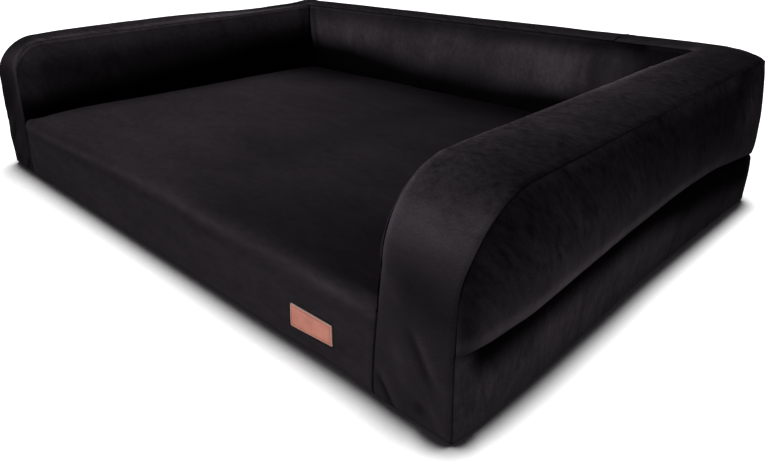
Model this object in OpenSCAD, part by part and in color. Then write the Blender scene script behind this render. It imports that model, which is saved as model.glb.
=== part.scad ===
// Dog sofa bed: a foam base with a bolster on three sides, in a sewn velvet cover with two zips at the back
// Millimetres, +Z up. The origin is on the floor at the centre of the footprint. The open front faces -Y.

/* [Overall size] */
// Width across the two arms
bed_w = 1200; // [1160:10:1240]
// Depth from the open front to the back
bed_d = 832; // [800:4:860]
// Height of the seat's edge above the floor
seat_h = 110; // [106:1:116]

/* [Bolsters] */
// Width of an arm, which is also the width of its strip
arm_w = 105; // [98:1:112]
// Thickness of the back bolster
back_w = 86; // [80:1:92]
// Height of the strips' inner seam at the arms' fronts
inner_top = 257; // [252:1:262]
// Height of the strips' outer seam there
outer_top = 252; // [247:1:256]
// How much both seams rise from there to the back
top_rise = 7; // [4:1:9]
// Radius over which the inner seam turns from an arm's front to its top
inner_r = 84; // [78:1:90]
// The same for the outer seam
outer_r = 103; // [96:1:108]
// How far the inner seam leans back by the start of its radius
inner_lean = 11; // [8:1:14]
// The same for the outer seam
outer_lean = 4; // [2:1:6]
// Rise of the strip between its two seams on the arm's top
strip_crown = 10; // [6:1:14]
// Bulge of the bolster's inner faces towards the seat
inner_bulge = 7; // [4:1:9]
// Bulge of the back bolster's outer face
back_bulge = 8; // [4:1:9]

/* [Base] */
// Radius of the seat's soft front edge
seat_r = 22; // [18:1:26]
// Rise of the middle of the seat above its edges
seat_crown = 6; // [3:1:9]
// Bulge of the front and of the base's sides
base_bulge = 3; // [1:0.5:4]
// How far the bottom seam is drawn in under the base
bottom_draw = 2.5; // [2:0.5:4]
// How far the seam of the long crease is drawn in
crease_draw = 6; // [4:1:7]

/* [Back corners] */
// Radius in plan at the floor
floor_corner_r = 14; // [12:1:18]
// Radius in plan at the long crease
crease_corner_r = 32; // [28:1:36]
// Radius in plan at the top of the bolster
top_corner_r = 58; // [52:1:60]
// How far the outer seam drops in the middle of a corner
corner_drop = 10; // [6:1:12]

/* [Cover] */
// Thickness of the velvet with its backing
cover_t = 3; // [2.5:0.5:3]
// Thickness of the layer between base and bolsters
divider_t = 1.5; // [1:0.5:1.5]

/* [Filling] */
// Height of the firm foam layer, from the floor
support_top = 62; // [54:2:70]
// Gap between the filling and the cover's inner side
filling_gap = 1.5; // [1:0.5:2]

/* [Label] */
// Width of the leather patch
label_w = 73; // [60:1:90]
// Height of the leather patch
label_h = 31; // [26:1:36]
// Thickness of the leather patch
label_t = 1.6; // [1.2:0.2:2]
// Distance of the patch's middle from the bed's middle
label_x = 393; // [300:1:420]
// Height of the patch's middle
label_z = 42; // [38:1:46]

/* [Zips] */
// Height of the base's zip
base_zip_z = 46; // [40:1:50]
// Height of the bolster's zip
bolster_zip_z = 128; // [124:1:132]
// Distance between the cover's edges at a zip
zip_mouth = 13; // [12:0.5:14]
// Width of one zip tape
tape_w = 15; // [13:1:16]
// Thickness of a zip tape
tape_t = 0.8; // [0.6:0.1:0.8]
// Width of one row of teeth
row_w = 2.3; // [2:0.1:2.4]
// Thickness of the rows of teeth
row_t = 2.2; // [2:0.1:2.3]
// Length of the slider
slider_l = 12; // [10:1:14]
// Length of the pull from its pin to its end
pull_l = 32; // [26:1:40]

/* [Hidden] */

velvet = "#2b2a2f";
lining = "#1c1c1f";
black_tape = "#131315";
metal = "#8d8f94";
leather = "#b5603c";
firm_foam = "#c9c2ae";
soft_foam = "#e9e2cf";
bolster_foam = "#dcd6c6";

// Faces of the bed
side_x = bed_w / 2;
arm_x = side_x - arm_w;
front_y = -bed_d / 2;
back_y = bed_d / 2;
rest_y = back_y - back_w;
bottom_z = cover_t;

// The seams between the sides and the back lie on the back, just past the widest corner
back_seam_x = side_x - top_corner_r - 2;

// Vectors of the faces
none = [0, 0, 0];
left_v = [-1, 0, 0];
right_v = [1, 0, 0];
front_v = [0, -1, 0];
back_v = [0, 1, 0];
up_v = [0, 0, 1];
down_v = [0, 0, -1];

// Heights of the crease, and of the front's rows up to it and past it
crease_front_z = 102;
crease_back_z = 98;
base_rows = [bottom_z, 7, 14, 50, seat_h - seat_r];
front_rows = concat(base_rows, [crease_front_z, 126]);
draw_h = 14;

// Steps of an arm's curve, and stations along its top
arm_step = 15;
arm_angles = [0 : arm_step : 90];
arm_stations = [-220, -120, -20, 80, 180, 270];
strip_shares = [0, 0.25, 0.5, 0.75, 1];

// Where the two strips meet on the back, and the stations along the back on each side of that
join_x = 355;
right_back_stations = [470, 415, join_x];
left_back_stations = [470, 400, 300, 200, 100, 0, -100, -200, -300, -join_x];

// Drawing in above the bottom seam
function draw(z) = z < draw_h ? bottom_draw * pow(1 - (z - bottom_z) / (draw_h - bottom_z), 2) : 0;

// The side view of a strip's seam is given by its height, its radius and its lean
inner_edge = [inner_top, inner_r, inner_lean];
outer_edge = [outer_top, outer_r, outer_lean];
function start_z(edge) = edge[0] - edge[1];
function centre_y(edge) = front_y + edge[2] + edge[1];
function face_y(z, edge) = front_y + edge[2] * pow(min(1, z / start_z(edge)), 2) + draw(z);
function top_z(y, edge) = edge[0] + top_rise * max(0, y - centre_y(edge)) / (back_y - centre_y(edge));
function arm_curve(edge) = [for (a = arm_angles)
    [centre_y(edge) - edge[1] * cos(a), start_z(edge) + edge[1] * sin(a)]];
function arm_line(edge) = concat(
    [for (z = front_rows) [face_y(z, edge), z]],
    arm_curve(edge),
    [for (y = arm_stations) [y, top_z(y, edge)]]
);
back_top = outer_top + top_rise;
rest_top = top_z(rest_y, inner_edge);

// A back corner in plan, from the side to the seam on the back
corner_angles = [0 : 22.5 : 90];
function corner(r) = concat(
    [for (a = corner_angles) [side_x - r + r * cos(a), back_y - r + r * sin(a)]],
    [[back_seam_x, back_y]]
);
corner_v = concat([for (a = corner_angles) [cos(a), sin(a), 0]], [back_v]);
corner_n = len(corner_v);
drops = concat([for (a = corner_angles) corner_drop * sin(2 * a)], [0]);
corner_tops = [for (i = [0 : corner_n - 1])
    let (p = corner(top_corner_r)[i]) [p[0], p[1], top_z(p[1], outer_edge) - drops[i]]];
// The corner over the seat, as distances from it along the two inner seams
inner_legs = [[0, 8], [0, 4], [0, 0], [4, 0], [8, 0], [14, 0]];

// A strip's two seams as points, from the floor at the arm's front to its end on the back
function inner_seam(back_stations) = concat(
    [for (p = arm_line(inner_edge)) [arm_x, p[0], p[1]]],
    [for (p = inner_legs) [arm_x - p[0], rest_y - p[1], top_z(rest_y - p[1], inner_edge)]],
    [for (x = back_stations) [x, rest_y, rest_top]]
);
function outer_seam(back_stations) = concat(
    [for (p = arm_line(outer_edge)) [side_x - draw(p[1]), p[0], p[1]]],
    corner_tops,
    [for (x = back_stations) [x, back_y, back_top]]
);

// Along a strip: the angle and the vector of its face, the vectors of the faces beside it, and its crown
front_n = len(front_rows);
arm_n = front_n + len(arm_curve(inner_edge)) + len(arm_stations);
inner_corner = arm_n + 2;
function face_angle(i) = min(90, max(0, arm_step * (i - front_n)));
function turned_v(a) = [0, -cos(a), sin(a)];
function face_v(i) = turned_v(face_angle(i));
function outer_v(i) = i < arm_n ? right_v : i < arm_n + corner_n ? corner_v[i - arm_n] : back_v;
function inner_v(i) = i < inner_corner ? left_v : i == inner_corner ? left_v + front_v : front_v;
front_crown = 0.35;
crown_start_h = 60;
function crown_at(i) = strip_crown * (i < front_n
    ? front_crown * min(1, front_rows[i] / crown_start_h)
    : front_crown + (1 - front_crown) * sin(face_angle(i)));

// A sewn panel: a closed sheet between a grid of outer points and the same grid on its inner side
module panel(outer, inner) {
    rows = len(outer);
    cols = len(outer[0]);
    n = rows * cols;
    points = concat([for (r = outer) each r], [for (r = inner) each r]);
    sheet = [for (i = [0 : rows - 2], j = [0 : cols - 2]) each halves(i * cols + j, cols)];
    rim = concat(
        [for (j = [0 : cols - 2]) [j, j + 1]],
        [for (i = [0 : rows - 2]) [i * cols + cols - 1, (i + 1) * cols + cols - 1]],
        [for (j = [cols - 2 : -1 : 0]) [n - cols + j + 1, n - cols + j]],
        [for (i = [rows - 2 : -1 : 0]) [(i + 1) * cols, i * cols]]
    );
    faces = concat(
        sheet,
        [for (f = sheet) [f[0] + n, f[2] + n, f[1] + n]],
        [for (e = rim) each [[e[0], e[0] + n, e[1]], [e[1], e[0] + n, e[1] + n]]]
    );
    polyhedron(points, volume(points, faces) > 0 ? [for (f = faces) [f[0], f[2], f[1]]] : faces);
}
function halves(a, cols) = [[a, a + 1, a + cols], [a + 1, a + cols + 1, a + cols]];
function volume(p, faces) = total([for (f = faces) p[f[0]] * cross(p[f[1]], p[f[2]])]);
function total(v) = v * [for (x = v) 1];

// One strip. Beside the seat's front panel its inner edge is square, and above that both edges are mitred
module strip(back_stations) {
    a = inner_seam(back_stations);
    b = outer_seam(back_stations);
    outer = [for (i = [0 : len(a) - 1]) [for (s = strip_shares)
        a[i] + (b[i] - a[i]) * s + face_v(i) * crown_at(i) * hump(s)]];
    inner = [for (i = [0 : len(a) - 1]) [for (k = [0 : len(strip_shares) - 1])
        outer[i][k] - cover_t * (face_v(i) + strip_edge_v(i, strip_shares[k]) + (i == 0 ? down_v : none))]];
    panel(outer, inner);
}
function hump(s) = 4 * s * (1 - s);
square_n = len(base_rows) - 1;
function strip_edge_v(i, s) = s == 1 ? outer_v(i) : s > 0 || i < square_n ? none : inner_v(i);

module left_strip() color(velvet) mirror([1, 0, 0]) strip(left_back_stations);
module right_strip() color(velvet) strip(right_back_stations);

// The seat's side view as [y, z, direction angle], from the floor up the front, round the edge and back
seat_flat_y = face_y(seat_h - seat_r, inner_edge) + seat_r;
seat_line = concat(
    [for (z = base_rows) [face_y(z, inner_edge), z, 0]],
    [for (a = [22.5 : 22.5 : 90]) [seat_flat_y - seat_r * cos(a), seat_h - seat_r + seat_r * sin(a), a]],
    [for (y = concat([-350, centre_y(inner_edge)], arm_stations, [rest_y])) [y, seat_h, 90]]
);
seat_last = len(seat_line) - 1;
seat_shares = [-1, -0.94, -0.8, -0.56, -0.28, 0, 0.28, 0.56, 0.8, 0.94, 1];

// Swell of the front up to its full bulge, and of the seat along its depth and across its width
swell_start_h = 30;
function front_swell(z) = base_bulge * min(1, (z - bottom_z) / swell_start_h);
function depth_swell(t) = (base_bulge + (seat_crown - base_bulge / 2) * hump(t)) * (1 - pow(t, 6));
function seat_swell(i, s) = (1 - pow(abs(s), 4))
    * (seat_line[i][0] <= seat_flat_y && i <= square_n
        ? front_swell(seat_line[i][1])
        : depth_swell(max(0, seat_line[i][0] - seat_flat_y) / (rest_y - seat_flat_y)));
function seat_side_v(i, s) = abs(s) < 1 || i <= square_n ? none : sign(s) * left_v;
function seat_end_v(i) = i == 0 ? down_v : i == seat_last ? front_v : none;

module seat_front_panel() color(velvet) {
    outer = [for (i = [0 : seat_last]) [for (s = seat_shares)
        [arm_x * s, seat_line[i][0], seat_line[i][1]] + turned_v(seat_line[i][2]) * seat_swell(i, s)]];
    inner = [for (i = [0 : seat_last]) [for (k = [0 : len(seat_shares) - 1])
        outer[i][k] - cover_t
            * (turned_v(seat_line[i][2]) + seat_side_v(i, seat_shares[k]) + seat_end_v(i))]];
    panel(outer, inner);
}

// An arm's face towards the seat: columns run from the seat's edge up to the strip's inner seam
inner_rows = [0, 0.3, 0.6, 0.85, 1];
inner_foot = [for (i = [square_n : seat_last]) seat_line[i]];
inner_head = concat(
    arm_curve(inner_edge),
    [for (y = concat(arm_stations, [rest_y])) [y, top_z(y, inner_edge)]]
);
inner_last = len(inner_foot) - 1;
function inner_point(j, s) = [
    arm_x - inner_bulge * hump(s) * min(1, j / 3, (inner_last - j) / 2),
    inner_foot[j][0] + (inner_head[j][0] - inner_foot[j][0]) * s,
    inner_foot[j][1] + (inner_head[j][1] - inner_foot[j][1]) * s
];
function inner_rim_v(j, s) = j == 0 ? front_v
    : (s == 0 ? turned_v(inner_foot[j][2]) : s == 1 ? turned_v(min(90, arm_step * j)) : none)
        + (j == inner_last ? front_v : none);
module arm_inner() {
    outer = [for (j = [0 : inner_last]) [for (s = inner_rows) inner_point(j, s)]];
    inner = [for (j = [0 : inner_last]) [for (s = inner_rows)
        inner_point(j, s) - cover_t * (left_v + inner_rim_v(j, s))]];
    panel(outer, inner);
}
module left_inner_panel() color(velvet) mirror([1, 0, 0]) arm_inner();
module right_inner_panel() color(velvet) arm_inner();

function rest_point(s, t) = [
    arm_x * s,
    rest_y - (1 - pow(abs(s), 6)) * inner_bulge * hump(t),
    seat_h + (rest_top - seat_h) * t
];
function rest_rim_v(s, t) = (abs(s) == 1 ? s * left_v : none) + (t == 0 || t == 1 ? up_v : none);
module back_inner_panel() color(velvet) {
    outer = [for (s = seat_shares) [for (t = inner_rows) rest_point(s, t)]];
    inner = [for (s = seat_shares) [for (t = inner_rows)
        rest_point(s, t) - cover_t * (front_v + rest_rim_v(s, t))]];
    panel(outer, inner);
}

// Height of the crease along a side, and reach of the bulge over it
crease_line = [
    [front_y, crease_front_z], [-372, 104], [-328, 110], [-220, 117], [-80, 121],
    [80, 125], [180, 122], [300, 108], [384, crease_back_z]
];
bulge_line = [[front_y, 0], [-370, 12], [-300, 21], [-100, 15], [150, 9], [384, 4]];
// Shares of the height above the crease, and of the bulge there
bulge_shape = [[0, 0], [0.04, 0.62], [0.16, 0.96], [0.36, 1], [0.6, 0.8], [0.82, 0.45], [1, 0]];
// Drop of the lip under the crease as a share of its bulge
droop = 0.35;

// Columns of a side: places along it, the plan of the corner, heads on the outer seam and outward vectors
side_foot_y = [face_y(crease_front_z, outer_edge), -404, -390, -372, -350, -328, centre_y(outer_edge)];
side_y = concat(side_foot_y, arm_stations);
function side_plan(r) = concat([for (y = side_y) [side_x, y]], corner(r));
floor_plan = side_plan(floor_corner_r);
crease_plan = side_plan(crease_corner_r);
side_heads = concat(
    [for (p = arm_curve(outer_edge)) [side_x, p[0], p[1]]],
    [for (y = arm_stations) [side_x, y, top_z(y, outer_edge)]],
    corner_tops
);
side_v = concat([for (y = side_y) right_v], corner_v);
side_last = len(side_v) - 1;

// The bulge fades out over the last columns, and the crease's draw over the first ones
function side_bulge(j) = lookup(crease_plan[j][1], bulge_line) * min(1, (side_last - j) / 3);
function crease_foot(j) = [crease_plan[j][0], crease_plan[j][1], lookup(crease_plan[j][1], crease_line)];
function crease_point(j) = crease_foot(j) - crease_draw * min(1, j / 2) * side_v[j];
function outside_point(j, b) = b[0] == 0
    ? crease_point(j)
    : crease_foot(j) + (side_heads[j] - crease_foot(j)) * b[0]
        + side_bulge(j) * (b[1] * side_v[j] + (b[0] < 0.1 ? droop * down_v : none));
function outside_v(j, k) = j == 0 ? right_v + front_v
    : k == 0 ? down_v
    : k == 1 ? side_v[j] + down_v
    : side_v[j] + (k == len(bulge_shape) - 1 ? turned_v(min(90, arm_step * j)) : none);
module arm_outer() {
    outer = [for (j = [0 : side_last]) [for (b = bulge_shape) outside_point(j, b)]];
    inner = [for (j = [0 : side_last]) [for (k = [0 : len(bulge_shape) - 1])
        outer[j][k] - cover_t * outside_v(j, k)]];
    panel(outer, inner);
}
module left_outer_panel() color(velvet) mirror([1, 0, 0]) arm_outer();
module right_outer_panel() color(velvet) arm_outer();

// A side of the base below the crease, with the same columns as the bolster's outside
function base_point(j, z) =
    let (p = floor_plan[j] + (crease_plan[j] - floor_plan[j]) * z / crease_back_z,
         swell = base_bulge * min(1, j / 3, (side_last - j) / 4) * sin(180 * z / seat_h))
    [p[0], j == 0 ? face_y(z, outer_edge) - draw(z) : p[1], z]
        + side_v[j] * (swell - draw(z)) - (j == 0 ? draw(z) * front_v : none);
module arm_base() {
    outer = [for (j = [0 : side_last]) concat([for (z = base_rows) base_point(j, z)], [crease_point(j)])];
    inner = [for (j = [0 : side_last]) [for (k = [0 : len(base_rows)])
        outer[j][k] - cover_t * (side_v[j] + (j == 0 ? front_v : none) + (k == 0 ? down_v : none))]];
    panel(outer, inner);
}
module left_base_panel() color(velvet) mirror([1, 0, 0]) arm_base();
module right_base_panel() color(velvet) arm_base();

// A flat band across the back: its side view, drawn out between the two corner seams
seam_gap = 0.6;
band_l = 2 * (back_seam_x - seam_gap);
module band(profile) translate([-band_l / 2, 0, 0]) rotate([90, 0, 90])
    linear_extrude(band_l) polygon(profile);

mouth = zip_mouth / 2;
skin_y = back_y - cover_t;
crease_y = back_y - crease_draw;
lip_h = 8;
module back_base_band() color(velvet) band([
    [back_y - bottom_draw, bottom_z], [back_y, draw_h], [back_y, base_zip_z - mouth],
    [skin_y, base_zip_z - mouth], [skin_y, draw_h + 1], [skin_y - bottom_draw, bottom_z]
]);
module back_base_panel() color(velvet) band([
    [back_y, base_zip_z + mouth], [back_y, seat_h - seat_r], [crease_y, crease_back_z],
    [crease_y - cover_t, crease_back_z], [skin_y, seat_h - seat_r - 1], [skin_y, base_zip_z + mouth]
]);
module back_zip_band() color(velvet) band([
    [crease_y, crease_back_z + seam_gap], [back_y, crease_back_z + lip_h], [back_y, bolster_zip_z - mouth],
    [skin_y, bolster_zip_z - mouth], [skin_y, crease_back_z + lip_h + 1],
    [crease_y - cover_t, crease_back_z + seam_gap]
]);

// The bolster's back above its zip
back_rows = [0, 0.12, 0.3, 0.55, 0.8, 1];
back_foot = bolster_zip_z + mouth;
function back_point(s, t) = [
    band_l / 2 * s,
    back_y + back_bulge * hump(t) * (1 - pow(abs(s), 6)),
    back_foot + (back_top - back_foot) * t
];
module back_outer_panel() color(velvet) {
    outer = [for (s = seat_shares) [for (t = back_rows) back_point(s, t)]];
    inner = [for (s = seat_shares) [for (t = back_rows)
        back_point(s, t) - cover_t * (back_v + (t == 1 ? up_v : none))]];
    panel(outer, inner);
}

// Plan of a layer inside the cover, with its two back corners rounded
function plan(x, y0, y1, r) = [
    [-x, y0], [x, y0],
    each [for (a = [0 : 15 : 90]) [x - r + r * cos(a), y1 - r + r * sin(a)]],
    each [for (a = [90 : 15 : 180]) [-x + r + r * cos(a), y1 - r + r * sin(a)]]
];

module bottom_panel() color(lining)
    linear_extrude(cover_t) polygon(plan(
        side_x - bottom_draw, front_y + bottom_draw, back_y - bottom_draw, floor_corner_r - bottom_draw));

// The filling lies clear of the cover on all sides
filling_in = cover_t + filling_gap;
fill_x = side_x - crease_draw - filling_in + 1;
fill_front_y = face_y(seat_h, inner_edge) + filling_in;
fill_back_y = crease_y - filling_in + 1;
base_fill_r = 26;
bolster_fill_r = 46;
support_bottom = bottom_z + 1;
layer_gap = 0.3;
divider_z = seat_h - filling_in - divider_t;
topper_top = divider_z - layer_gap;
bolster_bottom = divider_z + divider_t + filling_gap;

module support_foam() color(firm_foam)
    translate([0, 0, support_bottom])
        linear_extrude(support_top - support_bottom)
            polygon(plan(fill_x, fill_front_y, fill_back_y, base_fill_r));

// The topper's front edge is rounded as the seat's is
topper_r = seat_r - filling_in;
module memory_foam_topper() color(soft_foam) intersection() {
    linear_extrude(topper_top) polygon(plan(fill_x, front_y, fill_back_y, base_fill_r));
    translate([-side_x, 0, 0]) rotate([90, 0, 90]) linear_extrude(bed_w) polygon([
        [back_y, support_top + layer_gap], [back_y, topper_top],
        each [for (a = [90 : 15 : 180])
            [fill_front_y + topper_r * (1 + cos(a)), topper_top - topper_r * (1 - sin(a))]],
        [fill_front_y, support_top + layer_gap]
    ]);
}

divider_x = arm_x + filling_in;
divider_y = rest_y + filling_in;
module divider_panel() color(lining)
    translate([0, 0, divider_z]) linear_extrude(divider_t) difference() {
        polygon(plan(fill_x, fill_front_y, fill_back_y, base_fill_r));
        translate([-divider_x, front_y]) square([2 * divider_x, divider_y - front_y]);
    }

// An arm's filling: its side view across the arm, lower at the back corner
foam_r = outer_r - filling_in - (inner_lean - outer_lean) - filling_gap;
foam_top_drop = filling_in + 1;
module arm_foam() color(bolster_foam) intersection() {
    translate([divider_x, 0, 0]) rotate([90, 0, 90]) linear_extrude(fill_x - divider_x) polygon([
        [back_y, bolster_bottom], [back_y, back_top - foam_top_drop - corner_drop - 2],
        [back_y - top_corner_r, back_top - foam_top_drop - 2],
        each [for (a = [90 : 15 : 180])
            [centre_y(outer_edge) + foam_r * cos(a), start_z(outer_edge) + foam_r * sin(a)]],
        [centre_y(outer_edge) - foam_r, bolster_bottom]
    ]);
    linear_extrude(bed_w) polygon(plan(fill_x, front_y, fill_back_y, bolster_fill_r));
}
module left_bolster_foam() mirror([1, 0, 0]) arm_foam();
module right_bolster_foam() arm_foam();

back_foam_x = divider_x - 0.5;
module back_bolster_foam() color(bolster_foam)
    translate([-back_foam_x, divider_y, bolster_bottom])
        cube([2 * back_foam_x, fill_back_y - divider_y, back_top - foam_top_drop - bolster_bottom]);

// Leather patch on the front panel, following its swell
label_steps = [-0.5, -0.25, 0, 0.25, 0.5];
label_gap = 0.3;
function front_face(x, z) = [x, face_y(z, inner_edge) - front_swell(z) * (1 - pow(abs(x / arm_x), 4)), z];
module label_patch() color(leather) {
    back = [for (i = label_steps) [for (k = label_steps)
        front_face(label_x + label_w * i, label_z + label_h * k) + label_gap * front_v]];
    outer = [for (r = back) [for (p = r) p + label_t * front_v]];
    panel(outer, back);
}

// Zips lie along X on the back, with their tapes behind the cover's edges
tape_y = skin_y - 0.2 - tape_t;
row_y = tape_y + tape_t;
row_gap = 0.9;
tape_gap = row_gap + 0.3;
chain_l = band_l - 40;
stop_l = 3;
stop_gap = 0.2;
module zip_tape(z, side) color(black_tape)
    translate([-band_l / 2, tape_y, z + (side > 0 ? tape_gap : -tape_gap - tape_w)])
        cube([band_l, tape_t, tape_w]);
module zip_chain(z) color(black_tape)
    for (s = [0, 1])
        translate([0, 0, z]) mirror([0, 0, s]) translate([-chain_l / 2, row_y, row_gap])
            cube([chain_l, row_t, row_w]);
module zip_stops(z) color(metal) {
    for (s = [0, 1])
        translate([0, 0, z]) mirror([0, 0, s]) translate([chain_l / 2 + stop_gap, row_y, row_gap])
            cube([stop_l, row_t, row_w]);
    translate([-chain_l / 2 - stop_gap - stop_l, row_y, z - row_gap - row_w])
        cube([stop_l, row_t, 2 * (row_gap + row_w)]);
}

// The slider: two plates joined by a post, flanges round the rows of teeth and a bridge for the pull
clear = 0.4;
plate_t = 1.2;
flange_t = 1;
slider_half = row_gap + row_w + clear + flange_t;
upper_y = row_y + row_t + clear;
lower_y = tape_y - clear - plate_t;
post_w = row_gap - clear;
post_l = 3;
bridge_l = 8;
bridge_t = 1.6;
bridge_in = 2.6;
pin_r = 0.9;
pin_y = upper_y + plate_t + 1.5;
bridge_top = pin_y + pin_r + 0.5;
rest_x = chain_l / 2 - slider_l / 2 - 1;
module plate(y) translate([-slider_l / 2, y, -slider_half]) cube([slider_l, plate_t, 2 * slider_half]);
module zip_slider(z) color(metal) translate([rest_x, 0, z]) {
    plate(lower_y);
    plate(upper_y);
    translate([slider_l / 2 - post_l, lower_y, -post_w])
        cube([post_l, upper_y - lower_y + plate_t, 2 * post_w]);
    for (s = [0, 1])
        mirror([0, 0, s]) translate([-slider_l / 2, row_y + clear, slider_half - flange_t])
            cube([slider_l, upper_y - row_y, flange_t]);
    difference() {
        translate([-bridge_l / 2, upper_y, -bridge_t / 2])
            cube([bridge_l, bridge_top + 1 - upper_y, bridge_t]);
        translate([-bridge_in, upper_y + plate_t, -bridge_t])
            cube([2 * bridge_in, bridge_top - upper_y - plate_t, 2 * bridge_t]);
    }
}

// The pull: a pin through the bridge, two ears and a flat tab that lies along the chain
pull_t = 1.4;
pull_half = 3.5;
ear_z = 1.2;
ear_l = 6.4;
tab_start = 5.4;
pin_half = pull_half - 0.4;
hole_r = 1.8;
hole_in = 4.5;
module zip_pull(z) color(metal) translate([rest_x, pin_y, z]) {
    translate([0, 0, -pin_half]) cylinder(h = 2 * pin_half, r = pin_r, $fn = 32);
    for (s = [0, 1])
        mirror([0, 0, s]) translate([-ear_l, -pull_t / 2, ear_z]) cube([ear_l, pull_t, pull_half - ear_z]);
    difference() {
        translate([-pull_l, -pull_t / 2, -pull_half]) cube([pull_l - tab_start, pull_t, 2 * pull_half]);
        translate([hole_in - pull_l, -pull_t, 0]) rotate([-90, 0, 0])
            cylinder(h = 2 * pull_t, r = hole_r, $fn = 48);
    }
}

module base_zip_upper_tape() zip_tape(base_zip_z, 1);
module base_zip_lower_tape() zip_tape(base_zip_z, -1);
module base_zip_chain() zip_chain(base_zip_z);
module base_zip_stops() zip_stops(base_zip_z);
module base_zip_slider() zip_slider(base_zip_z);
module base_zip_pull() zip_pull(base_zip_z);
module bolster_zip_upper_tape() zip_tape(bolster_zip_z, 1);
module bolster_zip_lower_tape() zip_tape(bolster_zip_z, -1);
module bolster_zip_chain() zip_chain(bolster_zip_z);
module bolster_zip_stops() zip_stops(bolster_zip_z);
module bolster_zip_slider() zip_slider(bolster_zip_z);
module bolster_zip_pull() zip_pull(bolster_zip_z);

seat_front_panel();
left_strip();
right_strip();
left_inner_panel();
right_inner_panel();
back_inner_panel();
left_outer_panel();
right_outer_panel();
back_outer_panel();
back_zip_band();
left_base_panel();
right_base_panel();
back_base_panel();
back_base_band();
bottom_panel();
divider_panel();
label_patch();
support_foam();
memory_foam_topper();
left_bolster_foam();
right_bolster_foam();
back_bolster_foam();
base_zip_upper_tape();
base_zip_lower_tape();
base_zip_chain();
base_zip_stops();
base_zip_slider();
base_zip_pull();
bolster_zip_upper_tape();
bolster_zip_lower_tape();
bolster_zip_chain();
bolster_zip_stops();
bolster_zip_slider();
bolster_zip_pull();
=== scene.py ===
import math

import bmesh
import bpy
import numpy as np
from mathutils import Matrix, Vector


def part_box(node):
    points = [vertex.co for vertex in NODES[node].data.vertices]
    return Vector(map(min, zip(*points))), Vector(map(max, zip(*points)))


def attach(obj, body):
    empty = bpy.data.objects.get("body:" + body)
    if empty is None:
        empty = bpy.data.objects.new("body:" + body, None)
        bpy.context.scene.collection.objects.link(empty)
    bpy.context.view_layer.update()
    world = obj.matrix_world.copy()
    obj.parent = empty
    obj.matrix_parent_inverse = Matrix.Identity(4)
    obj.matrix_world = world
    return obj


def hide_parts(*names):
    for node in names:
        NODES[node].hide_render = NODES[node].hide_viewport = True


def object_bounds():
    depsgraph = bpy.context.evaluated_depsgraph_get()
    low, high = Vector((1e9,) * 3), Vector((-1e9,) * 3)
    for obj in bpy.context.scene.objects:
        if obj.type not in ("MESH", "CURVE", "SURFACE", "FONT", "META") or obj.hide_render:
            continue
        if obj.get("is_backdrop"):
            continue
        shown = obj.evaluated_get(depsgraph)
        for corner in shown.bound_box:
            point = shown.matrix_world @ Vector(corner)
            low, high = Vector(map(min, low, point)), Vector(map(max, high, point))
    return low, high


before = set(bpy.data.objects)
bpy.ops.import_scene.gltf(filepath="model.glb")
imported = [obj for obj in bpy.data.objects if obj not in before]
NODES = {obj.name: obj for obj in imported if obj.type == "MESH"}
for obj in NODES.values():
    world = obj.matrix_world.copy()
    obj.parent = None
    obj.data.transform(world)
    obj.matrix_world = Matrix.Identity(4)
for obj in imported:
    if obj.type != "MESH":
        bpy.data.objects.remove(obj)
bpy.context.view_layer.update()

MM = 0.001
scene = bpy.context.scene

# Faces of the bed, in millimetres
SIDE, ARM = 600.0, 495.0
FRONT, BACK, REST = -416.0, 416.0, 330.0
FLOOR_Z, DRAW_Z, DRAW = 1.2, 12.0, 1.2
SEAT_Z, SEAT_DROP = 110.0, 6.0
EDGE_Z = 88.0
BACK_SEAM = 540.0
JOIN = 355.0
CREASE_Z, CREASE_DRAW = 98.0, 6.0
CORNER_FLOOR, CORNER_CREASE, CORNER_TOP = 14.0, 32.0, 58.0
INNER_END, OUTER_END = 264.0, 259.0
INNER_CORNER, INNER_BULGE = 8.0, 15.0
STRIP_CROWN, CLOTH_T = 10.5, 2.0
CORNER_R = 8.0  # of the seat's front edge, where it is tightest
CORNER_DROP = {1: 3.0, -1: 2.0}  # how far each arm's outer seam dips at the back corner
PATCH_X, PATCH_Z, PATCH_W, PATCH_H = 393.0, 42.0, 73.0, 31.0

# The cloth beside a seam, in millimetres: over what it rises where the seam is puffed or drawn tight, the roll's
# place, width and height, the puckers' height, reach and pitch, and the groove's width
RISE = {1: 3.4, 2: 13.0}
ROLL_AT, ROLL_W, ROLL_H = 5.5, 2.8, 0.7
PUCKER_H, PUCKER_REACH, PUCKER_PITCH = 0.9, 10.0, 11.0
GROOVE_W = 1.1

# The two seams of each arm's strip in side view: height, radius and lean. The left arm is fuller and squarer
EDGES = {
    1: {"in": (252.0, 97.0, 14.0), "out": (244.0, 112.0, 3.0)},
    -1: {"in": (257.0, 59.0, 10.0), "out": (251.0, 70.0, 9.0)},
}
ENDS = {"in": INNER_END, "out": OUTER_END}


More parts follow.
